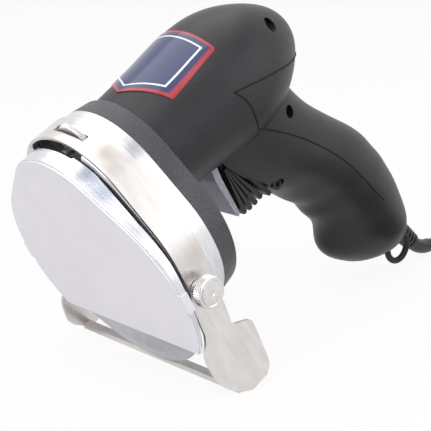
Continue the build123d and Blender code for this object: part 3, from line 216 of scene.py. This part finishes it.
# Seam between the shells: steps in each stretch, how far out its rays start, and its runs in
# millimetres along and above the blade's centre, seen from the side
SEAM_STEPS = 6
SEAM_CAST_FROM = 60.0
SEAM_RUNS = [
    [
        (124.0, 24.4),
        (116.5, 27.0),
        (108.5, 29.8),
        (100.1, 33.1),
        (93.3, 35.2),
        (82.7, 38.2),
        (73.8, 40.1),
    ],
    [(73.8, 40.1), (76.6, 34.9), (77.9, 29.7), (78.5, 23.9), (80.2, 16.4)],
    [
        (80.2, 16.4),
        (91.2, 6.3),
        (98.5, -1.0),
        (106.7, -10.6),
        (115.7, -23.0),
        (122.5, -34.5),
        (127.5, -45.3),
        (131.7, -56.7),
        (134.6, -64.6),
        (136.9, -69.7),
    ],
]

# Stage: lamps by name, place and side in metres, what they aim at, and the glow's share of the floor
LAMPS = [
    ("key_lamp", (-0.55, -0.35, 0.85), 0.7),
    ("fill_lamp", (0.5, -0.8, 0.5), 0.8),
    ("top_lamp", (0.1, 0.25, 1.0), 0.9),
]
LAMP_AIM = Vector((0, 0, 0.06))
FLOOR_GLOW_SHARE = 0.92


# Places


def on_head(along, side, up):
    """Place in the frame from millimetres along, across and above the blade's centre."""
    return BLADE_CENTRE + (ALONG * along + SIDE * side + UP * up) * MM


def turned_to(origin, across, upward, outward):
    """Matrix that stands a piece made about Z at origin with its Z along outward."""
    turn = Matrix((across, upward, outward)).transposed().to_4x4()
    return Matrix.Translation(origin) @ turn


# Finishes


def start_finish(name):
    """New material with its node tree and shader."""
    finish = bpy.data.materials.new(name)
    finish.use_nodes = True
    tree = finish.node_tree
    return finish, tree, tree.nodes["Principled BSDF"]


def grow_node(tree, kind, inputs=(), **settings):
    """Adds a node, with its settings and its inputs as values or links."""
    made = tree.nodes.new(kind)
    for setting, value in settings.items():
        setattr(made, setting, value)
    for socket, value in dict(inputs).items():
        if isinstance(value, bpy.types.NodeSocket):
            tree.links.new(value, made.inputs[socket])
        else:
            made.inputs[socket].default_value = value
    return made


def add_node(tree, kind, inputs=(), **settings):
    """Adds a shader node."""
    return grow_node(tree, "ShaderNode" + kind, inputs, **settings)


def reckon(tree, operation, *values):
    """Result of a math node on values or links."""
    return add_node(tree, "Math", enumerate(values), operation=operation).outputs[0]


def white_to_view(tree):
    """1 for rays from the camera and from gloss or glass, 0 for light on the object."""
    ray = add_node(tree, "LightPath").outputs
    bounced = reckon(tree, "MAXIMUM", ray["Is Glossy Ray"], ray["Is Transmission Ray"])
    return reckon(tree, "MAXIMUM", ray["Is Camera Ray"], bounced)


def head_place(tree):
    """Object coordinates turned and moved to the head's own axes, in metres."""
    place = add_node(tree, "TexCoord").outputs["Object"]
    home = (-BLADE_CENTRE.dot(ALONG), 0, -BLADE_CENTRE.dot(UP))
    turned = {"Vector": place, "Rotation": (0, LEAN, 0), "Location": home}
    return add_node(tree, "Mapping", turned).outputs["Vector"]


def cloud(tree, place, scale, detail=2.0, stretch=(1, 1, 1)):
    """Soft random value from 0 to 1 at a scale per metre, stretched along the head's axes."""
    drawn = add_node(tree, "Mapping", {"Vector": place, "Scale": stretch}).outputs["Vector"]
    return add_node(tree, "TexNoise", {"Vector": drawn, "Scale": scale, "Detail": detail}).outputs["Fac"]


def ramp(tree, value, stops):
    """Colour ramp from (place, colour) stops."""
    stops = list(stops)
    made = add_node(tree, "ValToRGB", {"Fac": value})
    band = made.color_ramp
    while len(band.elements) < len(stops):
        band.elements.new(0.5)
    for element, (place, colour) in zip(band.elements, stops):
        element.position = place
        element.color = (*colour, 1)
    return made.outputs["Color"]


def roughen(tree, shader, value, rough, spread):
    """Roughness that wanders below and above a value by the two parts of spread."""
    down, up = spread
    ends = {"Value": value, "To Min": rough - down, "To Max": rough + up}
    wandering = add_node(tree, "MapRange", ends)
    tree.links.new(wandering.outputs["Result"], shader.inputs["Roughness"])


def emboss(tree, shader, value, depth, reach=0.0004):
    """Surface bump from a value."""
    bump = add_node(tree, "Bump", {"Height": value, "Strength": depth, "Distance": reach})
    tree.links.new(bump.outputs["Normal"], shader.inputs["Normal"])


def dust(tree, place, chance):
    """Tiny round specks from 0 to 1, in a share of the cells of a coarse pattern."""
    cells = add_node(tree, "TexVoronoi", {"Vector": place, "Scale": DUST_SCALE}).outputs
    ends = {"From Min": DUST_CORE, "From Max": DUST_END, "To Min": 1.0, "To Max": 0.0}
    near = add_node(tree, "MapRange", {"Value": cells["Distance"], **ends}).outputs["Result"]
    pick = add_node(tree, "SeparateColor", {"Color": cells["Color"]}).outputs[0]
    return reckon(tree, "MULTIPLY", near, reckon(tree, "LESS_THAN", pick, chance))


def moulded(name, shade, lit, grain_scale, grain_depth, rough, dusty=0.0):
    """Moulded plastic with grain, wandering colour and a few dust specks."""
    finish, tree, shader = start_finish(name)
    place = head_place(tree)
    wander = cloud(tree, place, WANDER_SCALE)
    grain = cloud(tree, place, grain_scale, detail=GRAIN_DETAIL)
    tone = reckon(tree, "MULTIPLY", wander, grain)
    colour = ramp(tree, tone, zip(PLASTIC_TONES, (shade, lit)))
    if dusty:
        mixed = {"Fac": dust(tree, place, dusty), "Color1": colour, "Color2": DUST_COLOUR}
        colour = add_node(tree, "MixRGB", mixed).outputs["Color"]
    tree.links.new(colour, shader.inputs["Base Color"])
    shader.inputs["Specular IOR Level"].default_value = PLASTIC_SHINE
    roughen(tree, shader, wander, rough, PLASTIC_SPREAD)
    emboss(tree, shader, grain, grain_depth)
    return finish


def add_painted_reflections(tree, place, colour, painted_reflections):
    """Colour with painted reflections as soft darker patches, each (centre and reach in head
    millimetres, shade).
    """
    for centre, reach, shade in painted_reflections:
        spot = tuple(part * MM for part in centre)
        away = add_node(tree, "VectorMath", {0: place, 1: spot}, operation="DISTANCE").outputs["Value"]
        ends = {"Value": away, "From Max": reach * MM, "To Min": PAINTED_REFLECTION_WEIGHT, "To Max": 0.0}
        weight = add_node(tree, "MapRange", ends, interpolation_type="SMOOTHSTEP").outputs["Result"]
        mixed = {"Fac": weight, "Color1": colour, "Color2": (*shade, 1)}
        colour = add_node(tree, "MixRGB", mixed).outputs["Color"]
    return colour


def brushed(name, dark, light, rough, metal, lines, scale=BAND_SCALE, painted_reflections=()):
    """Brushed metal: fine lines drawn out by lines, over slow bands of tone, with painted reflections as
    soft patches where given.
    """
    finish, tree, shader = start_finish(name)
    place = head_place(tree)
    bands = cloud(tree, place, scale)
    hair = cloud(tree, place, HAIR_SCALE, detail=FINE_DETAIL, stretch=lines)
    tone = add_node(tree, "Mix", {"Factor": HAIR_SHARE, "A": bands, "B": hair}).outputs["Result"]
    tones = ramp(tree, tone, zip(METAL_TONES, (dark, light)))
    colour = add_painted_reflections(tree, place, tones, painted_reflections)
    tree.links.new(colour, shader.inputs["Base Color"])
    shader.inputs["Metallic"].default_value = metal
    roughen(tree, shader, hair, rough, METAL_SPREAD)
    emboss(tree, shader, hair, HAIR_DEPTH)
    return finish


def plain_metal(name, colour, rough, metal=1.0):
    """Small turned or pressed metal part with faint tool marks."""
    dark = tuple(TURNED_SHADE * part for part in colour)
    return brushed(name, dark, colour, rough, metal, TURNED_LINES, scale=TURNED_SCALE)


def rubber(name, shade, lit, rough):
    """Soft rubber with a fine bloom."""
    finish, tree, shader = start_finish(name)
    place = head_place(tree)
    bloom = cloud(tree, place, BLOOM_SCALE, detail=FINE_DETAIL)
    colour = ramp(tree, bloom, zip(RUBBER_TONES, (shade, lit)))
    tree.links.new(colour, shader.inputs["Base Color"])
    roughen(tree, shader, bloom, rough, RUBBER_SPREAD)
    emboss(tree, shader, bloom, BLOOM_DEPTH)
    return finish


def label_panel(name, edge, line, field):
    """Plain panel: an edge, then a field with a key line in it, by distance from its outline."""
    finish, tree, shader = start_finish(name)
    place = head_place(tree)
    axes = add_node(tree, "SeparateXYZ", {"Vector": place}).outputs
    across = reckon(tree, "ABSOLUTE", axes["Y"])
    back_gap = reckon(tree, "SUBTRACT", LABEL_BACK * MM, axes["X"])
    side_gap = reckon(tree, "SUBTRACT", LABEL_HALF_WIDTH * MM, across)
    slope = math.atan2(LABEL_TIP_DEPTH, LABEL_HALF_WIDTH)
    drop = reckon(tree, "MULTIPLY_ADD", across, -math.sin(slope), -LABEL_TIP * MM * math.cos(slope))
    tip_gap = reckon(tree, "MULTIPLY_ADD", axes["X"], math.cos(slope), drop)
    inset = reckon(tree, "MINIMUM", reckon(tree, "MINIMUM", back_gap, side_gap), tip_gap)
    share = add_node(tree, "MapRange", {"Value": inset, "From Max": LABEL_REACH * MM}).outputs["Result"]
    field_from, line_from, line_to = LABEL_STOPS
    bands = ramp(tree, share, [(0.0, edge), (field_from, field), (line_from, line), (line_to, field)])
    bands.node.color_ramp.interpolation = "CONSTANT"
    tree.links.new(bands, shader.inputs["Base Color"])
    shader.inputs["Roughness"].default_value = LABEL_ROUGHNESS
    shader.inputs["Coat Weight"].default_value = LABEL_COAT
    return finish


def make_finishes(colours):
    """Every finish of the slicer, by name."""
    return {
        "grip_black": moulded(
            "grip_black",
            colours.casing_shade,
            colours.casing_lit,
            grain_scale=1400,
            grain_depth=0.10,
            rough=0.40,
            dusty=0.3,
        ),
        "flange_black": moulded(
            "flange_black",
            colours.flange_shade,
            colours.flange_lit,
            grain_scale=1900,
            grain_depth=0.7,
            rough=0.40,
        ),
        "bright_ring": brushed(
            "bright_ring",
            colours.ring_dark,
            colours.ring_light,
            rough=0.24,
            metal=0.9,
            lines=(60, 1.5, 1.5),
            # Painted reflections on the ring and cover
            painted_reflections=RING_PAINTED_REFLECTIONS,
        ),
        "satin_steel": brushed(
            "satin_steel",
            colours.strap_dark,
            colours.strap_light,
            rough=0.30,
            metal=0.85,
            lines=(6, 1.5, 1.5),
            scale=18,
            # Painted reflections on the strap
            painted_reflections=STRAP_PAINTED_REFLECTIONS,
        ),
        "plate_steel": brushed(
            "plate_steel",
            colours.plate_dark,
            colours.plate_light,
            rough=0.38,
            metal=0.5,
            lines=(2, 2, 2),
            scale=12,
        ),
        "blade_steel": brushed(
            "blade_steel",
            colours.blade_dark,
            colours.blade_light,
            rough=0.30,
            metal=0.75,
            lines=(4, 4, 4),
        ),
        "knurl_steel": plain_metal("knurl_steel", (0.74, 0.72, 0.71), rough=0.3, metal=0.9),
        "screw_steel": plain_metal("screw_steel", (0.70, 0.70, 0.72), rough=0.28),
        "dark_screw": plain_metal("dark_screw", (0.035, 0.035, 0.038), rough=0.45, metal=0.6),
        "winding_copper": plain_metal("winding_copper", (0.75, 0.36, 0.20), rough=0.35),
        "core_iron": plain_metal("core_iron", (0.30, 0.30, 0.32), rough=0.5, metal=0.8),
        "brush_carbon": rubber("brush_carbon", (0.02, 0.02, 0.02), (0.05, 0.05, 0.05), rough=0.6),
        "fan_plastic": moulded(
            "fan_plastic",
            (0.55, 0.52, 0.45),
            (0.66, 0.63, 0.56),
            grain_scale=600,
            grain_depth=0.08,
            rough=0.45,
        ),
        "trigger_grey": moulded(
            "trigger_grey",
            colours.trigger_shade,
            colours.trigger_lit,
            grain_scale=700,
            grain_depth=0.06,
            rough=0.42,
        ),
        "frame_black": moulded(
            "frame_black",
            (0.010, 0.010, 0.011),
            (0.022, 0.022, 0.024),
            grain_scale=800,
            grain_depth=0.08,
            rough=0.5,
        ),
        "seam_black": rubber("seam_black", (0.001, 0.001, 0.001), (0.003, 0.003, 0.003), rough=0.9),
        "boot_rubber": rubber("boot_rubber", (0.006, 0.006, 0.006), (0.018, 0.018, 0.018), rough=0.42),
        "cord_rubber": rubber("cord_rubber", (0.008, 0.008, 0.009), (0.022, 0.022, 0.024), rough=0.4),
        "label_panel": label_panel(
            "label_panel", colours.label_edge, colours.label_line, colours.label_field
        ),
    }


NODE_FINISHES = {
    "grip_black": ["left_shell", "right_shell"],
    "dark_screw": ["shell_screws"],
    "flange_black": ["motor_flange"],
    "bright_ring": ["gear_housing", "blade_cover"],
    "satin_steel": ["guide_strap", "guide_bar"],
    "plate_steel": ["face_plate"],
    "blade_steel": ["blade"],
    "knurl_steel": ["thumb_wheel", "knob_left", "knob_right"],
    "screw_steel": [
        "cover_screws",
        "flange_screws",
        "blade_screws",
        "spindle",
        "spindle_bearings",
        "spindle_gear",
        "pinion",
        "armature_shaft",
        "motor_bearings",
        "wheel_stud",
        "trigger_pin",
        "plug_pins",
    ],
    "winding_copper": ["armature_windings", "field_coils", "commutator", "brush_holders"],
    "core_iron": ["armature_core", "field_core"],
    "brush_carbon": ["brushes"],
    "fan_plastic": ["fan"],
    "trigger_grey": ["trigger"],
    "frame_black": ["hanging_loop", "boot_frame", "switch_body", "switch_plunger", "cord_clamp"],
    "boot_rubber": ["trigger_boot", "coil_tie"],
    "cord_rubber": ["cord_sleeve", "power_cord", "cord_coil", "cord_tail", "plug"],
    "label_panel": ["label_plate"],
}


# Shapes


def link(name, mesh):
    """New object at the origin."""
    made = bpy.data.objects.new(name, mesh)
    bpy.context.scene.collection.objects.link(made)
    return made


def turned_piece(name, profile, place, finish, steps):
    """Piece turned about Z from (radius, height) millimetres, then put in its place."""
    shape = bmesh.new()
    rings = []
    for radius, height in profile:
        if radius == 0:
            rings.append([shape.verts.new((0, 0, height * MM))] * steps)
            continue
        ring = []
        for step in range(steps):
            angle = 2 * math.pi * step / steps
            spot = (radius * MM * math.cos(angle), radius * MM * math.sin(angle), height * MM)
            ring.append(shape.verts.new(spot))
        rings.append(ring)
    for near, far in zip(rings, rings[1:]):
        for step in range(steps):
            after = (step + 1) % steps
            corners = [near[step], near[after], far[after], far[step]]
            shape.faces.new(list(dict.fromkeys(corners)))
    bmesh.ops.remove_doubles(shape, verts=shape.verts, dist=MERGE_REACH)
    bmesh.ops.recalc_face_normals(shape, faces=shape.faces)
    mesh = bpy.data.meshes.new(name)
    shape.to_mesh(mesh)
    shape.free()
    mesh.polygons.foreach_set("use_smooth", [True] * len(mesh.polygons))
    mesh.set_sharp_from_angle(angle=SHARP_ANGLE)
    mesh.materials.append(finish)
    mesh.transform(place)
    return link(name, mesh)


def knurl_tree():
    """Geometry nodes that set rows of small pyramids round a rim about Z."""
    tree = bpy.data.node_groups.new("knurl_rows", "GeometryNodeTree")
    for name, kind in [
        ("Radius", "NodeSocketFloat"),
        ("Low", "NodeSocketFloat"),
        ("Row height", "NodeSocketFloat"),
        ("Depth", "NodeSocketFloat"),
        ("Around", "NodeSocketInt"),
        ("Rows", "NodeSocketInt"),
        ("Finish", "NodeSocketMaterial"),
    ]:
        tree.interface.new_socket(name, in_out="INPUT", socket_type=kind)
    tree.interface.new_socket("Geometry", in_out="OUTPUT", socket_type="NodeSocketGeometry")
    given = tree.nodes.new("NodeGroupInput").outputs

    def calc(operation, *values):
        return reckon(tree, operation, *values)

    count = calc("MULTIPLY", given["Around"], given["Rows"])
    number = grow_node(tree, "GeometryNodeInputIndex").outputs[0]
    row = calc("FLOOR", calc("DIVIDE", calc("ADD", number, 0.5), given["Around"]))
    column = calc("SUBTRACT", number, calc("MULTIPLY", row, given["Around"]))
    stagger = calc("MULTIPLY", calc("MODULO", row, 2.0), 0.5)
    pitch = calc("DIVIDE", 2 * math.pi, given["Around"])
    angle = calc("MULTIPLY", calc("ADD", column, stagger), pitch)
    height = calc("ADD", given["Low"], calc("MULTIPLY", calc("ADD", row, 1.0), given["Row height"]))
    across = calc("MULTIPLY", given["Radius"], calc("COSINE", angle))
    ahead = calc("MULTIPLY", given["Radius"], calc("SINE", angle))
    spot = add_node(tree, "CombineXYZ", {0: across, 1: ahead, 2: height}).outputs[0]
    points = grow_node(tree, "GeometryNodePoints", {"Count": count, "Position": spot}).outputs[0]
    pyramid = {"Vertices": 4, "Radius Top": 0.0, "Radius Bottom": 1.0, "Depth": 1.0}
    stud = grow_node(tree, "GeometryNodeMeshCone", pyramid).outputs["Mesh"]
    facing = add_node(tree, "CombineXYZ", {0: 0.0, 1: math.pi / 2, 2: angle}).outputs[0]
    turn = grow_node(tree, "FunctionNodeEulerToRotation", {0: facing}).outputs[0]
    half = calc("MULTIPLY", calc("MULTIPLY", pitch, given["Radius"]), 0.5)
    size = add_node(tree, "CombineXYZ", {0: given["Row height"], 1: half, 2: given["Depth"]}).outputs[0]
    placed = {"Points": points, "Instance": stud, "Rotation": turn, "Scale": size}
    studs = grow_node(tree, "GeometryNodeInstanceOnPoints", placed).outputs[0]
    real = grow_node(tree, "GeometryNodeRealizeInstances", {"Geometry": studs}).outputs[0]
    dressing = {"Geometry": real, "Material": given["Finish"]}
    dressed = grow_node(tree, "GeometryNodeSetMaterial", dressing).outputs[0]
    tree.links.new(dressed, tree.nodes.new("NodeGroupOutput").inputs[0])
    return tree


def knurled_rim(name, tree, place, finish, depth, around, radius, low, high, rows):
    """Rim of knurl pyramids about Z from low to high millimetres, then put in its place."""
    made = link(name, bpy.data.meshes.new(name))
    rim = made.modifiers.new("knurl", "NODES")
    rim.node_group = tree
    settings = {
        "Radius": radius * MM,
        "Low": low * MM,
        "Row height": (high - low) * MM / (rows + 1),
        "Depth": depth * MM,
        "Around": around,
        "Rows": rows,
        "Finish": finish,
    }
    for socket in tree.interface.items_tree:
        if socket.in_out == "INPUT":
            rim[socket.identifier] = settings[socket.name]
    graph = bpy.context.evaluated_depsgraph_get()
    mesh = bpy.data.meshes.new_from_object(made.evaluated_get(graph))
    made.modifiers.clear()
    mesh.transform(place)
    made.data = mesh
    return made


def coil_points():
    """Control points of the round coil: inwards on the table, up, and outwards above."""
    points = []
    place, heading = COIL_RADII_IN[0], 1
    low, high = COIL_LEVELS
    rounds = [(radius, low, low) for radius in COIL_RADII_IN]
    rounds.append((COIL_CLIMB, low, high))
    rounds += [(radius, high, high) for radius in COIL_RADII_OUT]
    for radius, start, stop in rounds:
        centre = place - heading * radius
        for step in range(COIL_POINTS):
            share = step / COIL_POINTS
            x = centre + heading * radius * math.cos(math.pi * share)
            y = heading * radius * math.sin(math.pi * share)
            points.append((COIL_CENTRE[0] + x, COIL_CENTRE[1] - y, start + (stop - start) * share))
        place = centre - heading * radius
        heading = -heading
    return points


# Operators


class SLICER_OT_finish_solids(bpy.types.Operator):
    """Gives every solid of the model its finish"""

    bl_idname = "slicer.finish_solids"
    bl_label = "Finish solids"

    def execute(self, context):
        finishes = make_finishes(context.scene.slicer_colours)
        for name, nodes in NODE_FINISHES.items():
            for node in nodes:
                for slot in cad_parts[node].material_slots:
                    slot.material = finishes[name]
        return {"FINISHED"}


class SLICER_OT_knobs(bpy.types.Operator):
    """Clamp knobs with a diamond knurl and a turned face"""

    bl_idname = "slicer.knobs"
    bl_label = "Clamp knobs"

    def execute(self, context):
        sizes = context.scene.slicer_knurl
        finish = bpy.data.materials["knurl_steel"]
        tree = knurl_tree()
        along, up = KNOB_PLACE
        for node, side in (("knob_left", -1), ("knob_right", 1)):
            outward = SIDE * side
            seat = on_head(along, side * KNOB_SEAT, up)
            place = turned_to(seat, ALONG, outward.cross(ALONG), outward)
            head = turned_piece(node + "_head", KNOB_PROFILE, place, finish, KNOB_STEPS)
            knurl = (sizes.knob_depth, sizes.knob_around)
            rim = knurled_rim(node + "_rim", tree, place, finish, *knurl, **KNOB_RIM)
            for piece in (head, rim):
                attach(piece, node)
                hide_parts(node)
        return {"FINISHED"}


class SLICER_OT_thumb_wheel(bpy.types.Operator):
    """Thumb wheel with a fine knurled rim"""

    bl_idname = "slicer.thumb_wheel"
    bl_label = "Thumb wheel"

    def execute(self, context):
        sizes = context.scene.slicer_knurl
        finish = bpy.data.materials["knurl_steel"]
        tree = knurl_tree()
        place = turned_to(on_head(*WHEEL_PLACE), SIDE, UP, ALONG)
        disc = turned_piece("thumb_wheel_disc", WHEEL_PROFILE, place, finish, WHEEL_STEPS)
        knurl = (sizes.wheel_depth, sizes.wheel_around)
        rim = knurled_rim("thumb_wheel_rim", tree, place, finish, *knurl, **WHEEL_RIM)
        for piece in (disc, rim):
            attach(piece, "wheel")
            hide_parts("thumb_wheel")
        return {"FINISHED"}


class SLICER_OT_seams(bpy.types.Operator):
    """Dark seam line along both halves of the casing"""

    bl_idname = "slicer.seams"
    bl_label = "Seams"

    def execute(self, context):
        graph = context.evaluated_depsgraph_get()
        for node, side in (("left_shell", -1), ("right_shell", 1)):
            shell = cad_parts[node].evaluated_get(graph)
            line = bpy.data.curves.new(node + "_seam", "CURVE")
            line.dimensions = "3D"
            line.bevel_depth = context.scene.slicer_casing.seam_radius
            line.bevel_resolution = 2
            line.use_fill_caps = True
            for run in SEAM_RUNS:
                route = [self.on_shell(shell, side, *spot) for spot in self.spread(run)]
                spline = line.splines.new("POLY")
                spline.points.add(len(route) - 1)
                for point, place in zip(spline.points, route):
                    point.co = (*place, 1)
            line.materials.append(bpy.data.materials["seam_black"])
            seam = link(node + "_seam", line)
            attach(seam, "housing")
        return {"FINISHED"}

    def spread(self, run):
        """The places of a run with even steps between them."""
        places = []
        for (along, up), (next_along, next_up) in zip(run, run[1:]):
            for step in range(SEAM_STEPS):
                share = step / SEAM_STEPS
                places.append((along + (next_along - along) * share, up + (next_up - up) * share))
        return [*places, run[-1]]

    def on_shell(self, shell, side, along, up):
        """Place on the shell's outer face at a spot seen from the side."""
        start = on_head(along, side * SEAM_CAST_FROM, up)
        home = shell.matrix_world.inverted()
        found, place, _, _ = shell.ray_cast(home @ start, home.to_3x3() @ (SIDE * -side))
        if not found:
            raise RuntimeError(f"no shell at {along}, {up}")
        return shell.matrix_world @ place


class SLICER_OT_cord(bpy.types.Operator):
    """Power cord from the sleeve through its coil to the plug"""

    bl_idname = "slicer.cord"
    bl_label = "Power cord"

    def execute(self, context):
        line = bpy.data.curves.new("power_lead", "CURVE")
        line.dimensions = "3D"
        line.bevel_depth = CORD_RADIUS * MM
        line.bevel_resolution = 5
        line.resolution_u = 6
        line.use_fill_caps = True
        route = LEAD_POINTS[:-1] + coil_points() + TAIL_POINTS
        spline = line.splines.new("NURBS")
        spline.points.add(len(route) - 1)
        for point, (x, y, z) in zip(spline.points, route):
            point.co = (x * MM, y * MM, z * MM, 1)
        spline.order_u = 3
        spline.use_endpoint_u = True
        spline.use_smooth = True
        # This name finds the plain finish that came with the model, not the rubber of the solids
        line.materials.append(bpy.data.materials["cord_rubber"])
        lead = link("power_lead", line)
        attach(lead, "housing")
        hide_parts("power_cord", "cord_coil", "cord_tail")
        return {"FINISHED"}


class SLICER_OT_stage(bpy.types.Operator):
    """Pale floor, soft lamps and the camera"""

    bl_idname = "slicer.stage"
    bl_label = "Stage"

    def execute(self, context):
        sizes = context.scene.slicer_stage
        self.lay_floor(sizes.floor_width)
        self.light_world(sizes.sky_strength)
        powers = (sizes.key_power, sizes.fill_power, sizes.top_power)
        for (name, place, size), power in zip(LAMPS, powers):
            self.hang_lamp(name, place, size, power)
        self.place_camera()
        return {"FINISHED"}

    def lay_floor(self, width):
        """Pale floor that shines white to the camera and keeps the shadow."""
        finish, tree, shader = start_finish("floor_white")
        shader.inputs["Base Color"].default_value = FLOOR_COLOUR
        shader.inputs["Roughness"].default_value = FLOOR_ROUGHNESS
        part = reckon(tree, "MULTIPLY", white_to_view(tree), FLOOR_GLOW_SHARE)
        glow = add_node(tree, "Emission", {"Color": WHITE, "Strength": 1.0}).outputs[0]
        blend = add_node(tree, "MixShader", {0: part, 1: shader.outputs[0], 2: glow})
        tree.links.new(blend.outputs[0], tree.nodes["Material Output"].inputs["Surface"])
        shape = bmesh.new()
        bmesh.ops.create_grid(shape, x_segments=1, y_segments=1, size=width / 2)
        mesh = bpy.data.meshes.new("floor")
        shape.to_mesh(mesh)
        shape.free()
        mesh.materials.append(finish)
        floor = link("floor", mesh)

    def light_world(self, strength):
        """White sky for the camera and for gloss, softer for the rest."""
        world = bpy.data.worlds.new("studio")
        world.use_nodes = True
        tree = world.node_tree
        seen = white_to_view(tree)
        level = add_node(tree, "MapRange", {"Value": seen, "To Min": strength, "To Max": 1.0})
        sky = tree.nodes["Background"]
        sky.inputs["Color"].default_value = WHITE
        tree.links.new(level.outputs["Result"], sky.inputs["Strength"])
        bpy.context.scene.world = world

    def hang_lamp(self, name, place, size, power):
        """Soft square lamp aimed at the slicer."""
        lamp = bpy.data.lights.new(name, "AREA")
        lamp.size = size
        lamp.energy = power
        hung = link(name, lamp)
        hung.location = place
        aim = LAMP_AIM - hung.location
        hung.rotation_euler = aim.to_track_quat("-Z", "Y").to_euler()

    def place_camera(self):
        """Camera fitted to the photograph."""
        eye = bpy.data.cameras.new("camera")
        eye.sensor_width = EYE_SENSOR
        eye.sensor_fit = "HORIZONTAL"
        eye.lens = EYE_LENS
        eye.clip_start = EYE_NEAR
        seen = link("camera", eye)
        seen.matrix_world = turned_to(EYE, EYE_RIGHT, -EYE_DOWN, -EYE_AHEAD)
        bpy.context.scene.camera = seen


# Sizes, panel and registration


def tint(name, description, colour):
    """Colour property with its default."""
    return bpy.props.FloatVectorProperty(
        name=name, description=description, subtype="COLOR", min=0.0, max=1.0, default=colour
    )


def watts(name, description, power):
    """Lamp power property with its default."""
    return bpy.props.FloatProperty(name=name, description=description, default=power, unit="POWER")


class SlicerColours(bpy.types.PropertyGroup):
    """Colours of the pieces that show"""

    casing_shade: tint("Casing shade", "Darkest tone of the casing", (0.009, 0.009, 0.011))
    casing_lit: tint("Casing", "Lightest tone of the casing", (0.026, 0.025, 0.030))
    flange_shade: tint("Flange shade", "Darkest tone of the motor flange", (0.030, 0.029, 0.034))
    flange_lit: tint("Flange", "Lightest tone of the motor flange", (0.105, 0.102, 0.115))
    ring_dark: tint("Ring shade", "Darkest tone of the ring and cover", (0.52, 0.53, 0.57))
    ring_light: tint("Ring", "Lightest tone of the ring and cover", (0.84, 0.84, 0.86))
    strap_dark: tint("Strap shade", "Darkest tone of the guide strap", (0.60, 0.57, 0.55))
    strap_light: tint("Strap", "Lightest tone of the guide strap", (0.72, 0.69, 0.675))
    plate_dark: tint("Plate shade", "Darkest tone of the face plate", (0.74, 0.72, 0.77))
    plate_light: tint("Plate", "Lightest tone of the face plate", (0.80, 0.78, 0.83))
    blade_dark: tint("Blade shade", "Darkest tone of the blade", (0.33, 0.32, 0.36))
    blade_light: tint("Blade", "Lightest tone of the blade", (0.46, 0.45, 0.49))
    trigger_shade: tint("Trigger shade", "Darkest tone of the trigger", (0.27, 0.26, 0.32))
    trigger_lit: tint("Trigger", "Lightest tone of the trigger", (0.42, 0.41, 0.49))
    label_edge: tint("Label edge", "Edge of the label", (0.36, 0.015, 0.03))
    label_line: tint("Label line", "Key line of the label", (0.80, 0.80, 0.83))
    label_field: tint("Label field", "Field of the label", (0.012, 0.022, 0.10))


class SlicerCasing(bpy.types.PropertyGroup):
    """Seam of the casing"""

    seam_radius: bpy.props.FloatProperty(
        name="Seam radius",
        description="Half the seam's width",
        default=0.4 * MM,
        precision=4,
        unit="LENGTH",
    )


class SlicerKnurl(bpy.types.PropertyGroup):
    """Knurled rims"""

    knob_depth: bpy.props.FloatProperty(
        name="Knob depth", description="Height of a knob pyramid in millimetres", default=0.42
    )
    knob_around: bpy.props.IntProperty(
        name="Knob pyramids", description="Pyramids round a knob", default=44
    )
    wheel_depth: bpy.props.FloatProperty(
        name="Wheel depth", description="Height of a wheel pyramid in millimetres", default=0.38
    )
    wheel_around: bpy.props.IntProperty(
        name="Wheel pyramids", description="Pyramids round the thumb wheel", default=76
    )


class SlicerStage(bpy.types.PropertyGroup):
    """Floor and lamps"""

    floor_width: bpy.props.FloatProperty(
        name="Floor width", description="Side of the floor", default=8.0, unit="LENGTH"
    )
    sky_strength: bpy.props.FloatProperty(
        name="Sky strength", description="Light of the sky on the object", default=0.4
    )
    key_power: watts("Key power", "Power of the key lamp", 6.5)
    fill_power: watts("Fill power", "Power of the fill lamp", 2.2)
    top_power: watts("Top power", "Power of the top lamp", 4.0)


class SLICER_PT_looks(bpy.types.Panel):
    """Steps that build the slicer's looks"""

    bl_label = "Slicer looks"
    bl_space_type = "VIEW_3D"
    bl_region_type = "UI"
    bl_category = "Slicer"

    def draw(self, context):
        for step in STEPS:
            self.layout.operator(step.bl_idname)


STEPS = [
    SLICER_OT_finish_solids,
    SLICER_OT_knobs,
    SLICER_OT_thumb_wheel,
    SLICER_OT_seams,
    SLICER_OT_cord,
    SLICER_OT_stage,
]
SETTINGS = {
    "slicer_colours": SlicerColours,
    "slicer_casing": SlicerCasing,
    "slicer_knurl": SlicerKnurl,
    "slicer_stage": SlicerStage,
}
CLASSES = [*SETTINGS.values(), *STEPS, SLICER_PT_looks]


def register():
    """Adds the steps, the panel and the settings."""
    for kind in CLASSES:
        bpy.utils.register_class(kind)
    for name, kind in SETTINGS.items():
        setattr(bpy.types.Scene, name, bpy.props.PointerProperty(type=kind))


def unregister():
    """Takes the settings, the panel and the steps away again."""
    for name in SETTINGS:
        delattr(bpy.types.Scene, name)
    for kind in reversed(CLASSES):
        bpy.utils.unregister_class(kind)


def main():
    """Builds the looks around the frame."""
    register()
    scene = bpy.context.scene
    scene.view_settings.view_transform = "Standard"
    bpy.ops.slicer.finish_solids()
    bpy.ops.slicer.knobs()
    bpy.ops.slicer.thumb_wheel()
    bpy.ops.slicer.seams()
    bpy.ops.slicer.cord()
    bpy.ops.slicer.stage()


if __name__ == "__main__":
    main()
